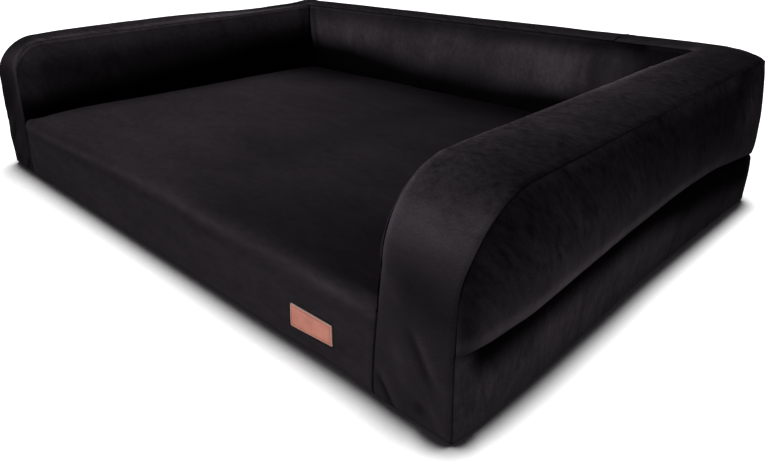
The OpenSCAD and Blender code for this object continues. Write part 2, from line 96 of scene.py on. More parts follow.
def through(points):
    """A smooth curve through rows of [x, y, ...] that doesn't overshoot, as a function of x. It gives each further
    column by itself."""
    p = np.array(points, float)
    x, y = p[:, 0], p[:, 1:]
    h = np.diff(x)[:, None]
    m = np.diff(y, axis=0) / h
    d = np.zeros_like(y)
    d[0], d[-1] = m[0], m[-1]
    same = m[:-1] * m[1:] > 0
    d[1:-1] = np.where(same, 2 * m[:-1] * m[1:] / np.where(same, m[:-1] + m[1:], 1), 0)

    def curve(at):
        at = np.clip(np.asarray(at, float), x[0], x[-1])
        i = np.clip(np.searchsorted(x, at, side="right") - 1, 0, len(x) - 2)
        w = h[i]
        t = ((at - x[i])[..., None]) / w
        out = (y[i] * (1 + 2 * t) * (1 - t) ** 2 + y[i + 1] * t * t * (3 - 2 * t)
               + w * t * (1 - t) ** 2 * d[i] - w * t * t * (1 - t) * d[i + 1])
        return out[..., 0] if out.shape[-1] == 1 else np.moveaxis(out, -1, 0)

    return curve


def unit(x):
    return np.clip(x, 0, 1)


def step(a, b, x):
    """0 before a, 1 after b, smooth between them."""
    t = unit((x - a) / (b - a))
    return t * t * (3 - 2 * t)


def fall(a, b, x):
    """1 before a, 0 after b, smooth between them."""
    return 1 - step(a, b, x)


def peak(d, width):
    """1 where d is 0, falling off softly over the width to both sides."""
    return np.exp(-((d / width) ** 2))


def lump(p, at, size, axes=(0, 2)):
    """1 at a place, falling off softly over a size along two of the axes."""
    return np.exp(-sum(((p[..., k] - c) / s) ** 2 for k, c, s in zip(axes, at, size)))


def spaced(n, even=0.4):
    """n + 1 values from 0 to 1, closer together near both ends."""
    t = np.linspace(0, 1, n + 1)
    return even * t + (1 - even) * (1 - np.cos(np.pi * t)) / 2


def draw(z):
    """How far the cover is drawn in towards the floor."""
    return np.where(z < DRAW_Z, DRAW * ((DRAW_Z - z) / (DRAW_Z - FLOOR_Z)) ** 2, 0.0)


def start_z(edge):
    """Height where an arm's front curve starts."""
    return edge[0] - edge[1]


def centre_y(edge):
    """Place of that curve's centre."""
    return FRONT + edge[2] + edge[1]


def face_y(z, edge):
    """Place of the front face at a height."""
    return FRONT + edge[2] * np.minimum(1, z / start_z(edge)) ** 2 + draw(z)


def top_z(y, side, which):
    """Height of a strip's seam along the top."""
    edge = EDGES[side][which]
    c = centre_y(edge)
    return edge[0] + (ENDS[which] - edge[0]) * np.maximum(0, y - c) / (BACK - c)


def seam(side, which, t):
    """Points (y, z) of a strip's seam: t 0 to 1 up the face, 1 to 2 round the arc and 2 to 3 along the top."""
    edge = EDGES[side][which]
    end = REST - INNER_CORNER if which == "in" else BACK - CORNER_TOP
    z = FLOOR_Z + (start_z(edge) - FLOOR_Z) * unit(t)
    a = np.pi / 2 * unit(t - 1)
    y_top = centre_y(edge) + (end - centre_y(edge)) * unit(t - 2)
    y = np.where(t <= 1, face_y(z, edge), np.where(t <= 2, centre_y(edge) - edge[1] * np.cos(a), y_top))
    z = np.where(t <= 1, z, np.where(t <= 2, start_z(edge) + edge[1] * np.sin(a), top_z(y_top, side, which)))
    return y, z


def joined(*parts):
    return np.concatenate(parts)


def vec(x, y, z):
    """Points or vectors from their three parts."""
    return np.stack(np.broadcast_arrays(*(np.asarray(c, float) for c in (x, y, z))), -1)


def grid_normals(p, out):
    """Unit normals of a grid of points, on the side of the vectors out."""
    n = np.cross(np.gradient(p, axis=0), np.gradient(p, axis=1))
    n /= np.maximum(np.linalg.norm(n, axis=-1, keepdims=True), 1e-9)
    return n * np.where((n * out).sum(-1, keepdims=True) < 0, -1, 1)


def edge_distances(p):
    """Distances along the grid from its first row, last row, first column and last column."""
    rows = np.zeros(p.shape[:2])
    cols = np.zeros(p.shape[:2])
    rows[1:] = np.cumsum(np.linalg.norm(np.diff(p, axis=0), axis=-1), axis=0)
    cols[:, 1:] = np.cumsum(np.linalg.norm(np.diff(p, axis=1), axis=-1), axis=1)
    return rows, rows[-1:] - rows, cols, cols[:, -1:] - cols


def field(u, v, cell_u, cell_v, seed):
    """Smooth noise from -1 to 1 over u and v."""
    table = np.random.default_rng(seed).uniform(-1, 1, (96, 96))
    x, y = u / cell_u + 31.7, v / cell_v + 17.3
    i, j = np.floor(x).astype(int), np.floor(y).astype(int)
    fx, fy = x - i, y - j
    fx, fy = fx * fx * (3 - 2 * fx), fy * fy * (3 - 2 * fy)
    at = lambda a, b: table[a % 96, b % 96]
    low = at(i, j) * (1 - fx) + at(i + 1, j) * fx
    high = at(i, j + 1) * (1 - fx) + at(i + 1, j + 1) * fx
    return low * (1 - fy) + high * fy


def put(name, data):
    """Puts an object with this data in the scene."""
    obj = bpy.data.objects.new(name, data)
    scene.collection.objects.link(obj)
    return obj


def mesh_object(name, bm, smooth, paint):
    """Makes the bmesh an object with the materials given in paint."""
    mesh = bpy.data.meshes.new(name)
    bm.to_mesh(mesh)
    bm.free()
    for f in mesh.polygons:
        f.use_smooth = smooth
    for m in paint:
        mesh.materials.append(m)
    return put(name, mesh)


def finish_mesh(name, bm, body="bed", smooth=True, paint=()):
    """Makes the bmesh a piece that rides on a body."""
    obj = mesh_object(name, bm, smooth, paint)
    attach(obj, body)
    return obj


def grid_bmesh(p):
    """A bmesh grid whose vertices lie on the points p, given in millimetres, with a UV map in metres of cloth."""
    rows, cols = p.shape[:2]
    bm = bmesh.new()
    bmesh.ops.create_grid(bm, x_segments=cols - 1, y_segments=rows - 1, size=0.5)
    bm.verts.ensure_lookup_table()
    for v, c in zip(bm.verts, p.reshape(-1, 3) * MM):
        v.co = c
    dist = edge_distances(p)
    along, across = dist[2].ravel() * MM, dist[0].ravel() * MM
    uv = bm.loops.layers.uv.new("Cloth")
    for f in bm.faces:
        for loop in f.loops:
            i = loop.vert.index
            loop[uv].uv = (along[i], across[i])
    bm.normal_update()
    return bm


def seam_relief(dist, sewn, seed):
    """The cloth near its seams: flat on the seam itself, rolled beside it, with small puckers from the stitching.
    Where sewn is 2 the cloth is drawn tight and rises slowly without a roll. Also gives how deep in a seam it is."""
    near = np.ones(dist[0].shape)
    roll, deep = np.zeros(near.shape), np.zeros(near.shape)
    for k, (d, how) in enumerate(zip(dist, sewn)):
        if how:
            along = dist[2] if k < 2 else dist[0]
            near = near * (1 - peak(d, RISE[how]))
            if how == 1:
                roll = roll + ROLL_H * peak(d - ROLL_AT, ROLL_W)
            roll = roll + PUCKER_H * np.exp(-d / PUCKER_REACH) * field(along, d, PUCKER_PITCH, 60.0, seed + k)
            deep = np.maximum(deep, peak(d, GROOVE_W))
    return near, roll, deep


def seam_shows(p):
    """How dark a seam looks: less along the arms' outer seam towards the back, where the pile closes over it."""
    return 1 - 0.7 * step(-220, 60, p[..., 1]) * step(225, 245, p[..., 2]) * step(590, 597, np.abs(p[..., 0]))


def settle(p):
    """The slack of the real cover: it flares where it stands on the floor, most at the front corners, and its top
    hangs lower along the left arm's outside and at the back corners."""
    x, y, z = np.moveaxis(p, -1, 0)
    low = fall(0, 96, z)
    out = flare(np.where(np.abs(x) > 594, y, FRONT)) * step(480, 600, np.abs(x)) * fall(300, 400, y)
    forward = (1.5 + 2.5 * step(380, 480, np.abs(x))) * fall(-412, -380, y)
    high = step(140, 250, z)
    bump = lambda at, size: lump(p, at, size, (0, 1))
    down = 7 * bump((-605, -375), (55, 60)) + 6 * bump((-600, 130), (80, 130)) + 5 * bump((600, 400), (70, 90))
    hollow = 5 * unit(1 - z / 66) * peak(x - 442, 46) * fall(-405, -385, y)
    inwards = 4 * step(150, 250, z) * step(150, 380, y) * step(560, 600, np.abs(x))
    beside = peak(x + 495, 120) * fall(118, 200, z) * step(84, 104, z)
    rounded = 6 * bump((-612, -418), (20, 20)) * fall(0, 70, z)
    return p + vec(np.sign(x) * (out * low - inwards) + rounded, hollow - forward * low + rounded,
                   seat_rise(y) * beside - down * high)


seat_rise = through([[FRONT, 0], [-395, 2], [-360, 7], [-292, 9], [-140, 5], [80, 2], [330, 0]])
flare = through([[FRONT, 5], [-380, 7], [-300, 7], [-220, 5], [-120, 2], [0, -3], [150, -3], [310, -2]])


def sewn_panel(node, p, out, fabric, cut, on, sewn=(1, 1, 1, 1), folds=None, painted_shading=None, marks=None):
    """A panel of the cover over the grid p, which stands for its CAD node. It is flat on its seams, which join it to
    its neighbours, and puffs up beside them. sewn says which of first row, last row, first column and last column
    are seams. folds gives extra relief in millimetres, nap how light the pile looks and marks how strong its wisps
    are; cut, the flat size in metres, and on, what it is drawn over, are not used."""
    seed = sum(map(ord, node))
    p = settle(p)
    n = grid_normals(p, out)
    dist = edge_distances(p)
    near, roll, deep = seam_relief(dist, sewn, seed)
    wide, small = field(dist[2], dist[0], 80.0, 95.0, seed + 11), field(dist[2], dist[0], 27.0, 36.0, seed + 12)
    h = 1.5 + roll + (0.45 * wide + 0.22 * small)
    if folds is not None:
        h = h + folds(p)
    bm = grid_bmesh(p + n * (h * near)[..., None])
    rows, cols = p.shape[:2]
    bm.faces.ensure_lookup_table()
    middle = bm.faces[rows // 2 * (cols - 1) + cols // 2].normal
    if middle.dot(Vector(np.broadcast_to(out, p.shape)[rows // 2, cols // 2])) < 0:
        bmesh.ops.reverse_faces(bm, faces=bm.faces)
    obj = finish_mesh(node + ".cover", bm, paint=[fabric])
    # The first attribute holds the painted light and shade over the pile, the second how strong its wisps are; both
    # are darker in the seam grooves.
    for word, paint in (("PaintedShading", painted_shading), ("Marks", marks)):
        values = (np.ones(p.shape[:2]) if paint is None else paint(p)) * (1 - 0.72 * deep * seam_shows(p))
        obj.data.attributes.new(word, "FLOAT", "POINT").data.foreach_set("value", values.ravel().astype(np.float32))
    solid = obj.modifiers.new("Thickness", "SOLIDIFY")
    solid.thickness = CLOTH_T * MM
    solid.offset = -1
    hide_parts(node)
    return obj


def merged(node):
    """A CAD node's mesh with its loose triangles joined into whole faces."""
    bm = bmesh.new()
    bm.from_mesh(NODES[node].data)
    bmesh.ops.remove_doubles(bm, verts=bm.verts, dist=1e-5)
    bmesh.ops.dissolve_limit(bm, angle_limit=math.radians(1), verts=bm.verts, edges=bm.edges)
    return bm


def round_edges(bm, radius, segments=2):
    """Rounds the edges of a bmesh that are sharper than 30 degrees."""
    sharp = [e for e in bm.edges if e.is_manifold and e.calc_face_angle() > math.radians(30)]
    bmesh.ops.bevel(bm, geom=sharp, offset=radius * MM, affect="EDGES", segments=segments, profile=0.5, material=-1)


def softened(node, radius, paint, body="bed", segments=2, kind=".piece", smooth=True):
    """Stands for a CAD node with the same form and rounded edges."""
    bm = merged(node)
    round_edges(bm, radius, segments)
    obj = finish_mesh(node + kind, bm, body, smooth, [paint])
    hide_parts(node)
    return obj


def repeat(bm, step_by, times):
    """Repeats the whole shape in a row, first within a block and then block by block; step_by is in millimetres."""
    block = max(k for k in range(1, int(times ** 0.5) + 1) if times % k == 0)
    for apart, count in ((1, block), (block, times // block)):
        if count > 1:
            bmesh.ops.spin(
                bm, geom=all_of(bm), cent=(0, 0, 0), axis=(0, 0, 1), dvec=Vector(step_by) * apart * MM, angle=0,
                steps=count - 1, use_duplicate=True,
            )


def all_of(bm):
    return bm.verts[:] + bm.edges[:] + bm.faces[:]


def cut_across(bm, turn, places):
    """Cuts the mesh at places in millimetres along the direction turn."""
    for k in places:
        bmesh.ops.bisect_plane(bm, geom=all_of(bm), dist=1e-7, plane_co=Vector(turn) * k * MM, plane_no=turn)


def bead(bm, at, size):
    """A small rounded bead with its middle at a point; both in millimetres."""
    made = bmesh.ops.create_icosphere(bm, subdivisions=1, radius=0.5)["verts"]
    bmesh.ops.scale(bm, vec=Vector(size) * MM, verts=made)
    bmesh.ops.translate(bm, vec=Vector(at) * MM, verts=made)


def crown_shape(s, round_share):
    """A strip's crown over its width: nearly flat between its seams at 0, an even arch at 1."""
    return 1 - np.abs(2 * s - 1) ** (4.5 - 2.3 * round_share)


def strip_points(side, back_end, pitch):
    """The strip of one arm with its run along the back, in the right arm's own frame."""
    e = EDGES[side]
    lengths = {
        "face": start_z(e["out"]),
        "arc": e["out"][1] * 1.5,
        "top": BACK - CORNER_TOP - centre_y(e["out"]),
        "corner": 60.0,
        "back": BACK_SEAM - back_end,
    }
    count = {k: max(8, round(v / pitch)) for k, v in lengths.items()}
    t = joined(
        np.linspace(0, 1, count["face"] + 1)[:-1],
        1 + np.linspace(0, 1, count["arc"] + 1)[:-1],
        2 + np.linspace(0, 1, count["top"] + 1),
    )
    yi, zi = seam(side, "in", t)
    yo, zo = seam(side, "out", t)
    k = np.linspace(0, 1, 2 * (count["corner"] // 2) + 1)[1:]
    b = np.linspace(0, 1, count["back"] + 1)[1:]
    leg_x, leg_y = unit(2 * k - 1) * INNER_CORNER, REST - unit(1 - 2 * k) * INNER_CORNER
    inner = joined(
        vec(ARM, yi, zi),
        vec(ARM - leg_x, leg_y, top_z(leg_y, side, "in")),
        vec(ARM - INNER_CORNER + (back_end - ARM + INNER_CORNER) * b, REST, top_z(REST, side, "in")),
    )
    a = k * np.pi / 2
    yc = BACK - CORNER_TOP + CORNER_TOP * np.sin(a)
    zc = top_z(yc, side, "out") - CORNER_DROP[side] * np.sin(2 * a)
    outer = joined(
        vec(SIDE - np.where(t < 1, draw(zo), 0), yo, zo),
        vec(SIDE - CORNER_TOP * (1 - np.cos(a)), yc, zc),
        vec(SIDE - CORNER_TOP + (back_end - SIDE + CORNER_TOP) * b, BACK, OUTER_END),
    )
    turn = joined(unit(t - 1), np.ones(len(k) + len(b))) * np.pi / 2
    up = joined(unit(zo[t < 1] / 60) * 0.3, 0.3 + 0.7 * np.sin(turn[len(zo[t < 1]):]))
    s = spaced(50)
    face = vec(0, -np.cos(turn), np.sin(turn))
    sag = 1 - (0.8 if side < 0 else 0.55) * step(60 if side < 0 else 190, 330, outer[:, 1])
    place_in_row = np.arange(len(sag))
    sag = np.where(place_in_row > len(t) + len(k), np.maximum(sag, 0.6), sag)
    if side < 0:
        sag = np.maximum(sag, peak(place_in_row - len(t) - len(k) / 2, 0.6 * len(k)))
    crown = STRIP_CROWN * (up * sag)[:, None] * crown_shape(s[None, :], np.sin(turn)[:, None])
    p = inner[:, None] + (outer - inner)[:, None] * s[None, :, None] + face[:, None] * crown[..., None]
    return p, face[:, None]


def mirrored(points, side):
    """A panel's points and outward vectors for the right arm at side 1 and the left arm at -1."""
    return [p * np.array([side, 1, 1]) for p in points]


def seat_drop(x, y):
    """How far the seat dips along the arms and the back."""
    walls = 1 - (1 - peak(ARM - np.abs(x), 14)) * (1 - peak(REST - y, 14))
    return SEAT_DROP * walls * step(FRONT + 8, FRONT + 50, y)


def edge_radius(x):
    """Radius of the seat's soft front edge: tight at the strips, widest beside the right arm."""
    from_strip = ARM - np.abs(x)
    full = 15 + 14 * peak(x - 330, 170)
    return CORNER_R + (full - CORNER_R) * step(0, 48, from_strip)


def front_at(z, s):
    """Place of the flat front face, which leans as the left arm does at s = -1 and as the right arm does at 1."""
    share = (s + 1) / 2
    return face_y(z, EDGES[-1]["in"]) * (1 - share) + face_y(z, EDGES[1]["in"]) * share


def front_swell(s):
    """How much of its swell the front has across it."""
    return (1 - np.abs(s) ** 14) * (0.55 + 0.45 * (1 - np.abs(s) ** 4))


def seat_points():
    """The seat's panel from the floor up the front, round the soft edge and back."""
    s = 2 * spaced(230, 0.72) - 1
    x = ARM * s
    r = edge_radius(x)
    edge_z = SEAT_Z - r
    k = np.linspace(0, 1, 30)[:-1, None]
    z_face = FLOOR_Z + (edge_z - FLOOR_Z) * k
    a = np.linspace(0, np.pi / 2, 14)[:, None]
    flat = front_at(edge_z, s) + r
    t = spaced(140, 0.7)[1:, None]
    y_top = flat + (REST - flat) * t
    y = joined(front_at(z_face, s), flat - r * np.cos(a), y_top)
    z = joined(z_face, edge_z + r * np.sin(a), SEAT_Z - seat_drop(x, y_top))
    turn = joined(0 * k, a, 0 * t + np.pi / 2)[:, 0]
    depth = unit((y - flat) / (REST - flat))
    swell = np.where(z < edge_z + 0.01, 3 * np.minimum(1, (z - FLOOR_Z) / 30), 3 + 4.5 * 4 * depth * (1 - depth))
    swell = swell * front_swell(s) * (1 - depth ** 24)
    dirs = vec(0, -np.cos(turn), np.sin(turn))[:, None]
    p = vec(x, y, z) + dirs * swell[..., None]
    return p, dirs


def bulge_shape(b):
    """Bulge of the bolster's inner faces, fuller below the middle, where they roll under to the seat."""
    return 1 - np.abs(2 * b ** 0.9 - 1) ** 2.3


def arm_inner_points(side):
    """An arm's face towards the seat, from the seat's edge up to the strip."""
    e = EDGES[side]["in"]
    c = centre_y(e)
    a = np.linspace(0, 1, 45)[:-1]
    k = np.linspace(0, 1, 200)
    head_y = joined(c - e[1] * np.cos(a * np.pi / 2), c + (REST - c) * k)
    head_z = joined(start_z(e) + e[1] * np.sin(a * np.pi / 2), top_z(head_y[len(a):], side, "in"))
    run = joined(a, 1 + k)
    turn = unit(run / 0.14) * np.pi / 2
    low = SEAT_Z - CORNER_R
    start = face_y(low, e)
    foot_y = start + CORNER_R * (1 - np.cos(turn)) + (c - start - CORNER_R) * unit((run - 0.14) / 0.86)
    foot_y = np.where(run > 1, head_y, foot_y)
    foot_z = low + CORNER_R * np.sin(turn) - seat_drop(ARM, foot_y) * (run > 0.14)
    b = spaced(54)
    y = foot_y[:, None] + (head_y - foot_y)[:, None] * b
    z = foot_z[:, None] + (head_z - foot_z)[:, None] * b
    fade = unit(1 - run / 0.5)[:, None] ** 2
    y = y + (face_y(z, e) - y) * fade
    ends = step(0, 0.9, run)[:, None] * (1 - unit((run - 1.9) / 0.1)[:, None] ** 2)
    p = vec(ARM - INNER_BULGE * bulge_shape(b) * ends, y, z)
    return p, vec(-1, 0, 0)


def back_inner_points():
    """The back's face towards the seat, between the arms."""
    s = 2 * spaced(230, 0.7) - 1
    t = spaced(54)
    low = SEAT_Z - SEAT_DROP
    bulge = INNER_BULGE * bulge_shape(t)[None, :] * (1 - np.abs(s) ** 16)[:, None]
    p = vec(ARM * s[:, None], REST - bulge, low + (top_z(REST, 1, "in") - low) * t[None, :])
    return p, vec(0, -1, 0)


crease_height = through([
    [FRONT, 102], [-372, 104], [-328, 110], [-220, 117], [-80, 121], [80, 125], [180, 122], [300, 108],
    [384, CREASE_Z]])
bulge_reach = through([[FRONT, 0], [-370, 12], [-300, 21], [-100, 15], [150, 9], [384, 4]])
# Section of the bolster's side from the crease up: share of the height, of the reach outwards and of the lip's drop
lip_section = through([
    [0.00, 0.00, 0.00, 0.00], [0.05, 0.00, 0.30, 0.30], [0.10, 0.03, 0.66, 0.38], [0.17, 0.09, 0.90, 0.24],
    [0.26, 0.19, 0.99, 0.05], [0.42, 0.36, 1.00, 0.00], [0.64, 0.60, 0.80, 0.00], [0.84, 0.82, 0.45, 0.00],
    [1.00, 1.00, 0.00, 0.00],
])


def side_columns(side, pitch):
    """Columns of a side, front to back: head on the strip's seam, foot at the crease, the same foot drawn in, foot at
    the floor, outward vector, and how much of the bulge each column has."""
    e = EDGES[side]["out"]
    counts = max(8, round(e[1] * 1.5 / pitch)), round(680 / pitch), round(80 / pitch)
    t1, t2, t3 = (np.linspace(0, 1, k + 1)[:-1] for k in counts)
    t4 = np.linspace(0, 1, 4)
    none = np.zeros(len(t1) + len(t2))
    c, y0 = centre_y(e), face_y(102.0, e)
    angle = t3 * np.pi / 2

    def plan(r, first):
        x = joined(none + SIDE, SIDE - r + r * np.cos(angle), (SIDE - r) + (BACK_SEAM - SIDE + r) * t4)
        y = joined(first, c + (BACK - r - c) * t2, BACK - r + r * np.sin(angle), BACK + 0 * t4)
        return x, y

    hx, hy = plan(CORNER_TOP, c - e[1] * np.cos(t1 * np.pi / 2))
    hz = joined(start_z(e) + e[1] * np.sin(t1 * np.pi / 2), top_z(hy[len(t1):], side, "out"))
    drop = joined(none, CORNER_DROP[side] * np.sin(2 * angle), 0 * t4)
    head = vec(hx, hy, hz - drop)
    first = y0 + (c - y0) * t1 ** 1.25
    x, y = plan(CORNER_CREASE, first)
    foot = vec(x, y, crease_height(y))
    floor = vec(*plan(CORNER_FLOOR, first), 0)
    a = joined(none, angle, np.pi / 2 + 0 * t4)
    out = vec(np.cos(a), np.sin(a), 0)
    drawn = CREASE_DRAW * unit((y - y[0]) / 24)
    last = joined(none + 1, unit((1 - t3) * 2) * 0.8 + 0.2, 0.2 * (1 - t4))
    return head, foot, foot - out * drawn[:, None], floor, out, last


def meet_face(p, foot, side):
    """Brings the first columns of a side onto the curve of the arm's front face, over 40 mm."""
    fade = unit(1 - (foot[:, 1] - foot[0, 1]) / 40)[:, None] ** 2
    y = p[..., 1]
    shift = (face_y(p[..., 2], EDGES[side]["out"]) - y) * fade
    p[..., 1] = y + shift * (np.arange(len(p)) < len(p) // 3)[:, None]


def arm_outer_points(side):
    """The bolster's outside, from the crease up round its lip to the strip."""
    head, foot, tuck, _, out, last = side_columns(side, 3.0)
    w = spaced(76, 0.6)
    share, reach, drop = lip_section(w)
    b = (bulge_reach(foot[:, 1]) * last)[:, None]
    p = foot[:, None] + (head - foot)[:, None] * share[None, :, None]
    p = p + out[:, None] * (b * reach)[..., None] - np.array([0, 0, 1.0]) * (b * drop)[..., None]
    p = p + (tuck - foot)[:, None] * fall(0, 0.06, w)[None, :, None]
    meet_face(p, foot, side)
    return p, out[:, None]


def arm_base_points(side):
    """The base's side, from the floor up to the crease."""
    _, foot, tuck, floor, out, last = side_columns(side, 3.6)
    high = foot[:, 2:]
    z = FLOOR_Z + (high - FLOOR_Z) * spaced(44, 0.7)
    plan = floor[:, None, :2] + (foot - floor)[:, None, :2] * (z / CREASE_Z)[..., None].clip(0, 1)
    p = vec(plan[..., 0], plan[..., 1], z)
    ramp = unit((foot[:, 1] - foot[0, 1]) / 60) * last
    swell = 3 * ramp[:, None] * np.sin(np.pi * unit(z / SEAT_Z))
    p = p + out[:, None] * (swell - draw(z))[..., None]
    tucked = np.linalg.norm(foot - tuck, axis=-1)[:, None]
    p = p - out[:, None] * (tucked * step(-14, 0, z - high))[..., None]
    meet_face(p, foot, side)
    return p, out[:, None]


def back_points(rows):
    """A panel across the back from a section of rows [place, height, y, bulge]."""
    x = ((2 * spaced(220, 0.8) - 1) * (BACK_SEAM - 0.6))[:, None]
    z, y, bulge = through(rows)(spaced(28, 0.7))
    return vec(x, y + bulge * (1 - np.abs(x / BACK_SEAM) ** 6), z), vec(0, 1, 0)


def material(name, colour, rough=0.8, metal=0.0, **sockets):
    m = bpy.data.materials.new(name)
    m.use_nodes = True
    b = m.node_tree.nodes["Principled BSDF"]
    b.inputs["Base Color"].default_value = (*colour, 1)
    b.inputs["Roughness"].default_value = rough
    b.inputs["Metallic"].default_value = metal
    for k, v in sockets.items():
        b.inputs[k.replace("_", " ")].default_value = v
    return m


def add(m, kind, inputs=None, **settings):
    """Adds a node to a material. Each input is a plain value or another node's output."""
    n = m.node_tree.nodes.new("ShaderNode" + kind)
    for k, v in settings.items():
        setattr(n, k, v)
    for k, v in (inputs or {}).items():
        if isinstance(v, bpy.types.NodeSocket):
            m.node_tree.links.new(v, n.inputs[k])
        else:
            n.inputs[k].default_value = v
    return n


def attribute(m, name):
    return add(m, "Attribute", attribute_name=name).outputs["Fac"]


def mix(m, factor, first, second):
    return add(m, "Mix", {"Factor": factor, 6: first, 7: second}, data_type="RGBA").outputs[2]


def map_range(m, value, low, high, to_low, to_high, kind="LINEAR"):
    """A value between low and high made one between to_low and to_high."""
    return add(m, "MapRange", {"Value": value, 1: low, 2: high, 3: to_low, 4: to_high},
               interpolation_type=kind).outputs["Result"]


def finish(m, socket, output):
    m.node_tree.links.new(output, m.node_tree.nodes["Principled BSDF"].inputs[socket])


def place(m, scale=(1, 1, 1), cloth=False):
    """Coordinates for a pattern: the cloth's own UV map, or the object's."""
    where = add(m, "UVMap", uv_map="Cloth").outputs["UV"] if cloth else add(m, "TexCoord").outputs["Object"]
    return add(m, "Mapping", {"Vector": where, "Scale": scale}).outputs["Vector"]


def noise(m, where, scale, detail=2.0, rough=0.5, bend=0.0):
    return add(m, "TexNoise", {
        "Vector": where, "Scale": scale, "Detail": detail, "Roughness": rough, "Distortion": bend}).outputs["Fac"]


def math_of(m, kind, *values):
    return add(m, "Math", dict(enumerate(values)), operation=kind).outputs["Value"]


def plus(m, total, *others):
    for value in others:
        total = math_of(m, "ADD", total, value)
    return total


def times(m, first, second):
    return math_of(m, "MULTIPLY", first, second)


def swing(m, fac, amount):
    """A factor round 0.5 made a value round 0, of the given size."""
    return times(m, math_of(m, "SUBTRACT", fac, 0.5), amount)


def tones(m, fac, *stops):
    """A colour ramp of (place, colour) stops."""
    r = add(m, "ValToRGB", {"Fac": fac})
    for k, (at, colour) in enumerate(stops):
        e = r.color_ramp.elements[k] if k < 2 else r.color_ramp.elements.new(at)
        e.position = at
        e.color = (*colour, 1)
    return r.outputs["Color"]


def relief(m, height, strength, depth, **under):
    """A bump of the given depth in millimetres, on top of another one where Normal gives it."""
    return add(m, "Bump", {"Strength": strength, "Distance": depth * MM, "Height": height, **under}).outputs["Normal"]


def patterned(m, fac, low, high, height, strength, depth):
    """Colours a material between two (place, colour) stops by one pattern and gives it relief by another."""
    finish(m, "Base Color", tones(m, fac, low, high))
    finish(m, "Normal", relief(m, height, strength, depth))
    return m


PILE = (0.0193, 0.0166, 0.0192)


def velvet_cloth(name, across, lie_scale, lie, tuft, speck):
    """Black plush: broad patches where the pile lies another way, wisps and small tufts, and a fine grain, all drawn
    out by across along one direction of the cloth. On each piece the attribute Nap gives the painted light and shade
    over the pile, lighter or darker, and Marks how strong the wisps are."""
    m = material(name, PILE, 0.7, Specular_IOR_Level=0.0, Sheen_Weight=0.004, Sheen_Roughness=0.35,
                 Sheen_Tint=(0.9, 0.72, 0.9, 1))
    cloth = place(m, (across, 1, 1), cloth=True)
    broad = noise(m, cloth, lie_scale, 4, 0.55, 0.6)
    wisps = noise(m, cloth, 62, 4, 0.68, 1.0)
    small = noise(m, cloth, 130, 3, 0.65, 0.3)
    fine = noise(m, place(m, cloth=True), 520, 2)
    uneven = times(m, plus(m, swing(m, wisps, tuft), swing(m, small, tuft * 0.8)), attribute(m, "Marks"))
    tone = plus(m, swing(m, broad, lie), 1.0, uneven, swing(m, fine, speck))
    tone = times(m, math_of(m, "MAXIMUM", tone, 0.15), attribute(m, "PaintedShading"))
    finish(m, "Base Color", add(m, "VectorMath", {0: PILE, "Scale": tone}, operation="SCALE").outputs["Vector"])
    finish(m, "Normal", relief(m, fine, 0.35, 0.5, Normal=relief(m, small, 0.25, 0.8)))
    return m


seat_velvet = velvet_cloth("Velvet of the seat", 0.4, 11, 0.6, 0.6, 0.8)
strip_velvet = velvet_cloth("Velvet of the strips", 0.75, 13, 0.9, 1.7, 0.9)
side_velvet = velvet_cloth("Velvet of the sides", 0.5, 17, 1.1, 1.7, 0.8)


def woven(name, light, dark, pitch):
    """A plain weave of threads with the given pitch in millimetres."""
    m = material(name, light, 0.85, Specular_IOR_Level=0.08)
    at = place(m)
    scale = 1000 / pitch / 6.2832 * 2
    weave = math_of(m, "MAXIMUM", *(
        add(m, "TexWave", {"Vector": at, "Scale": scale, "Distortion": 0.6, "Detail": 1.0},
            bands_direction=d).outputs["Fac"] for d in ("X", "Y")))
    patchy = plus(m, weave, swing(m, noise(m, at, 25, 3), 0.6))
    return patterned(m, patchy, (0.15, dark), (0.9, light), weave, 0.5, 0.2)


def foam(name, colour, dark, pore):
    """Open-cell foam: small pores and a slightly uneven tone."""
    m = material(name, colour, 0.95, Specular_IOR_Level=0.1)
    at = place(m)
    cells = add(m, "TexVoronoi", {"Vector": at, "Scale": 1000 / pore}).outputs["Distance"]
    patchy = plus(m, times(m, cells, 0.7), swing(m, noise(m, at, 9, 3), 0.8))
    return patterned(m, patchy, (0.1, dark), (0.6, colour), cells, 0.6, 0.6)


def leather(name):
    """Smooth tan leather with a fine grain, scuffed paler at its edges and darker in the line pressed along them."""
    m = material(name, (0.45, 0.16, 0.115), 0.5, Specular_IOR_Level=0.3)
    at = place(m)
    grain = add(m, "TexVoronoi", {"Vector": at, "Scale": 1400, "Randomness": 1.0}, feature="DISTANCE_TO_EDGE")
    cloudy = noise(m, at, 60, 5, 0.6)
    edge = attribute(m, "Edge")
    worn = plus(m, edge, swing(m, noise(m, at, 260, 3), 0.9))
    face = tones(m, cloudy, (0.3, (0.37, 0.122, 0.085)), (0.7, (0.5, 0.19, 0.135)))
    rim = mix(m, tones(m, worn, (0.4, (0, 0, 0)), (0.8, (1, 1, 1))), face, (0.34, 0.235, 0.2, 1))
    line = attribute(m, "Line")
    finish(m, "Base Color", mix(m, times(m, line, 0.85), rim, (0.2, 0.025, 0.02, 1)))
    finish(m, "Normal", relief(m, grain.outputs["Distance"], 0.4, 0.12))
    finish(m, "Roughness", plus(m, swing(m, cloudy, 0.25), 0.5))
    return m


def thread(name, colour, dark):
    """Twisted sewing thread."""
    m = material(name, colour, 0.6, Specular_IOR_Level=0.3)
    twist = add(m, "TexWave", {"Vector": place(m), "Scale": 420, "Distortion": 1.5},
                bands_direction="DIAGONAL").outputs["Fac"]
    return patterned(m, twist, (0.2, dark), (0.8, colour), twist, 0.5, 0.1)


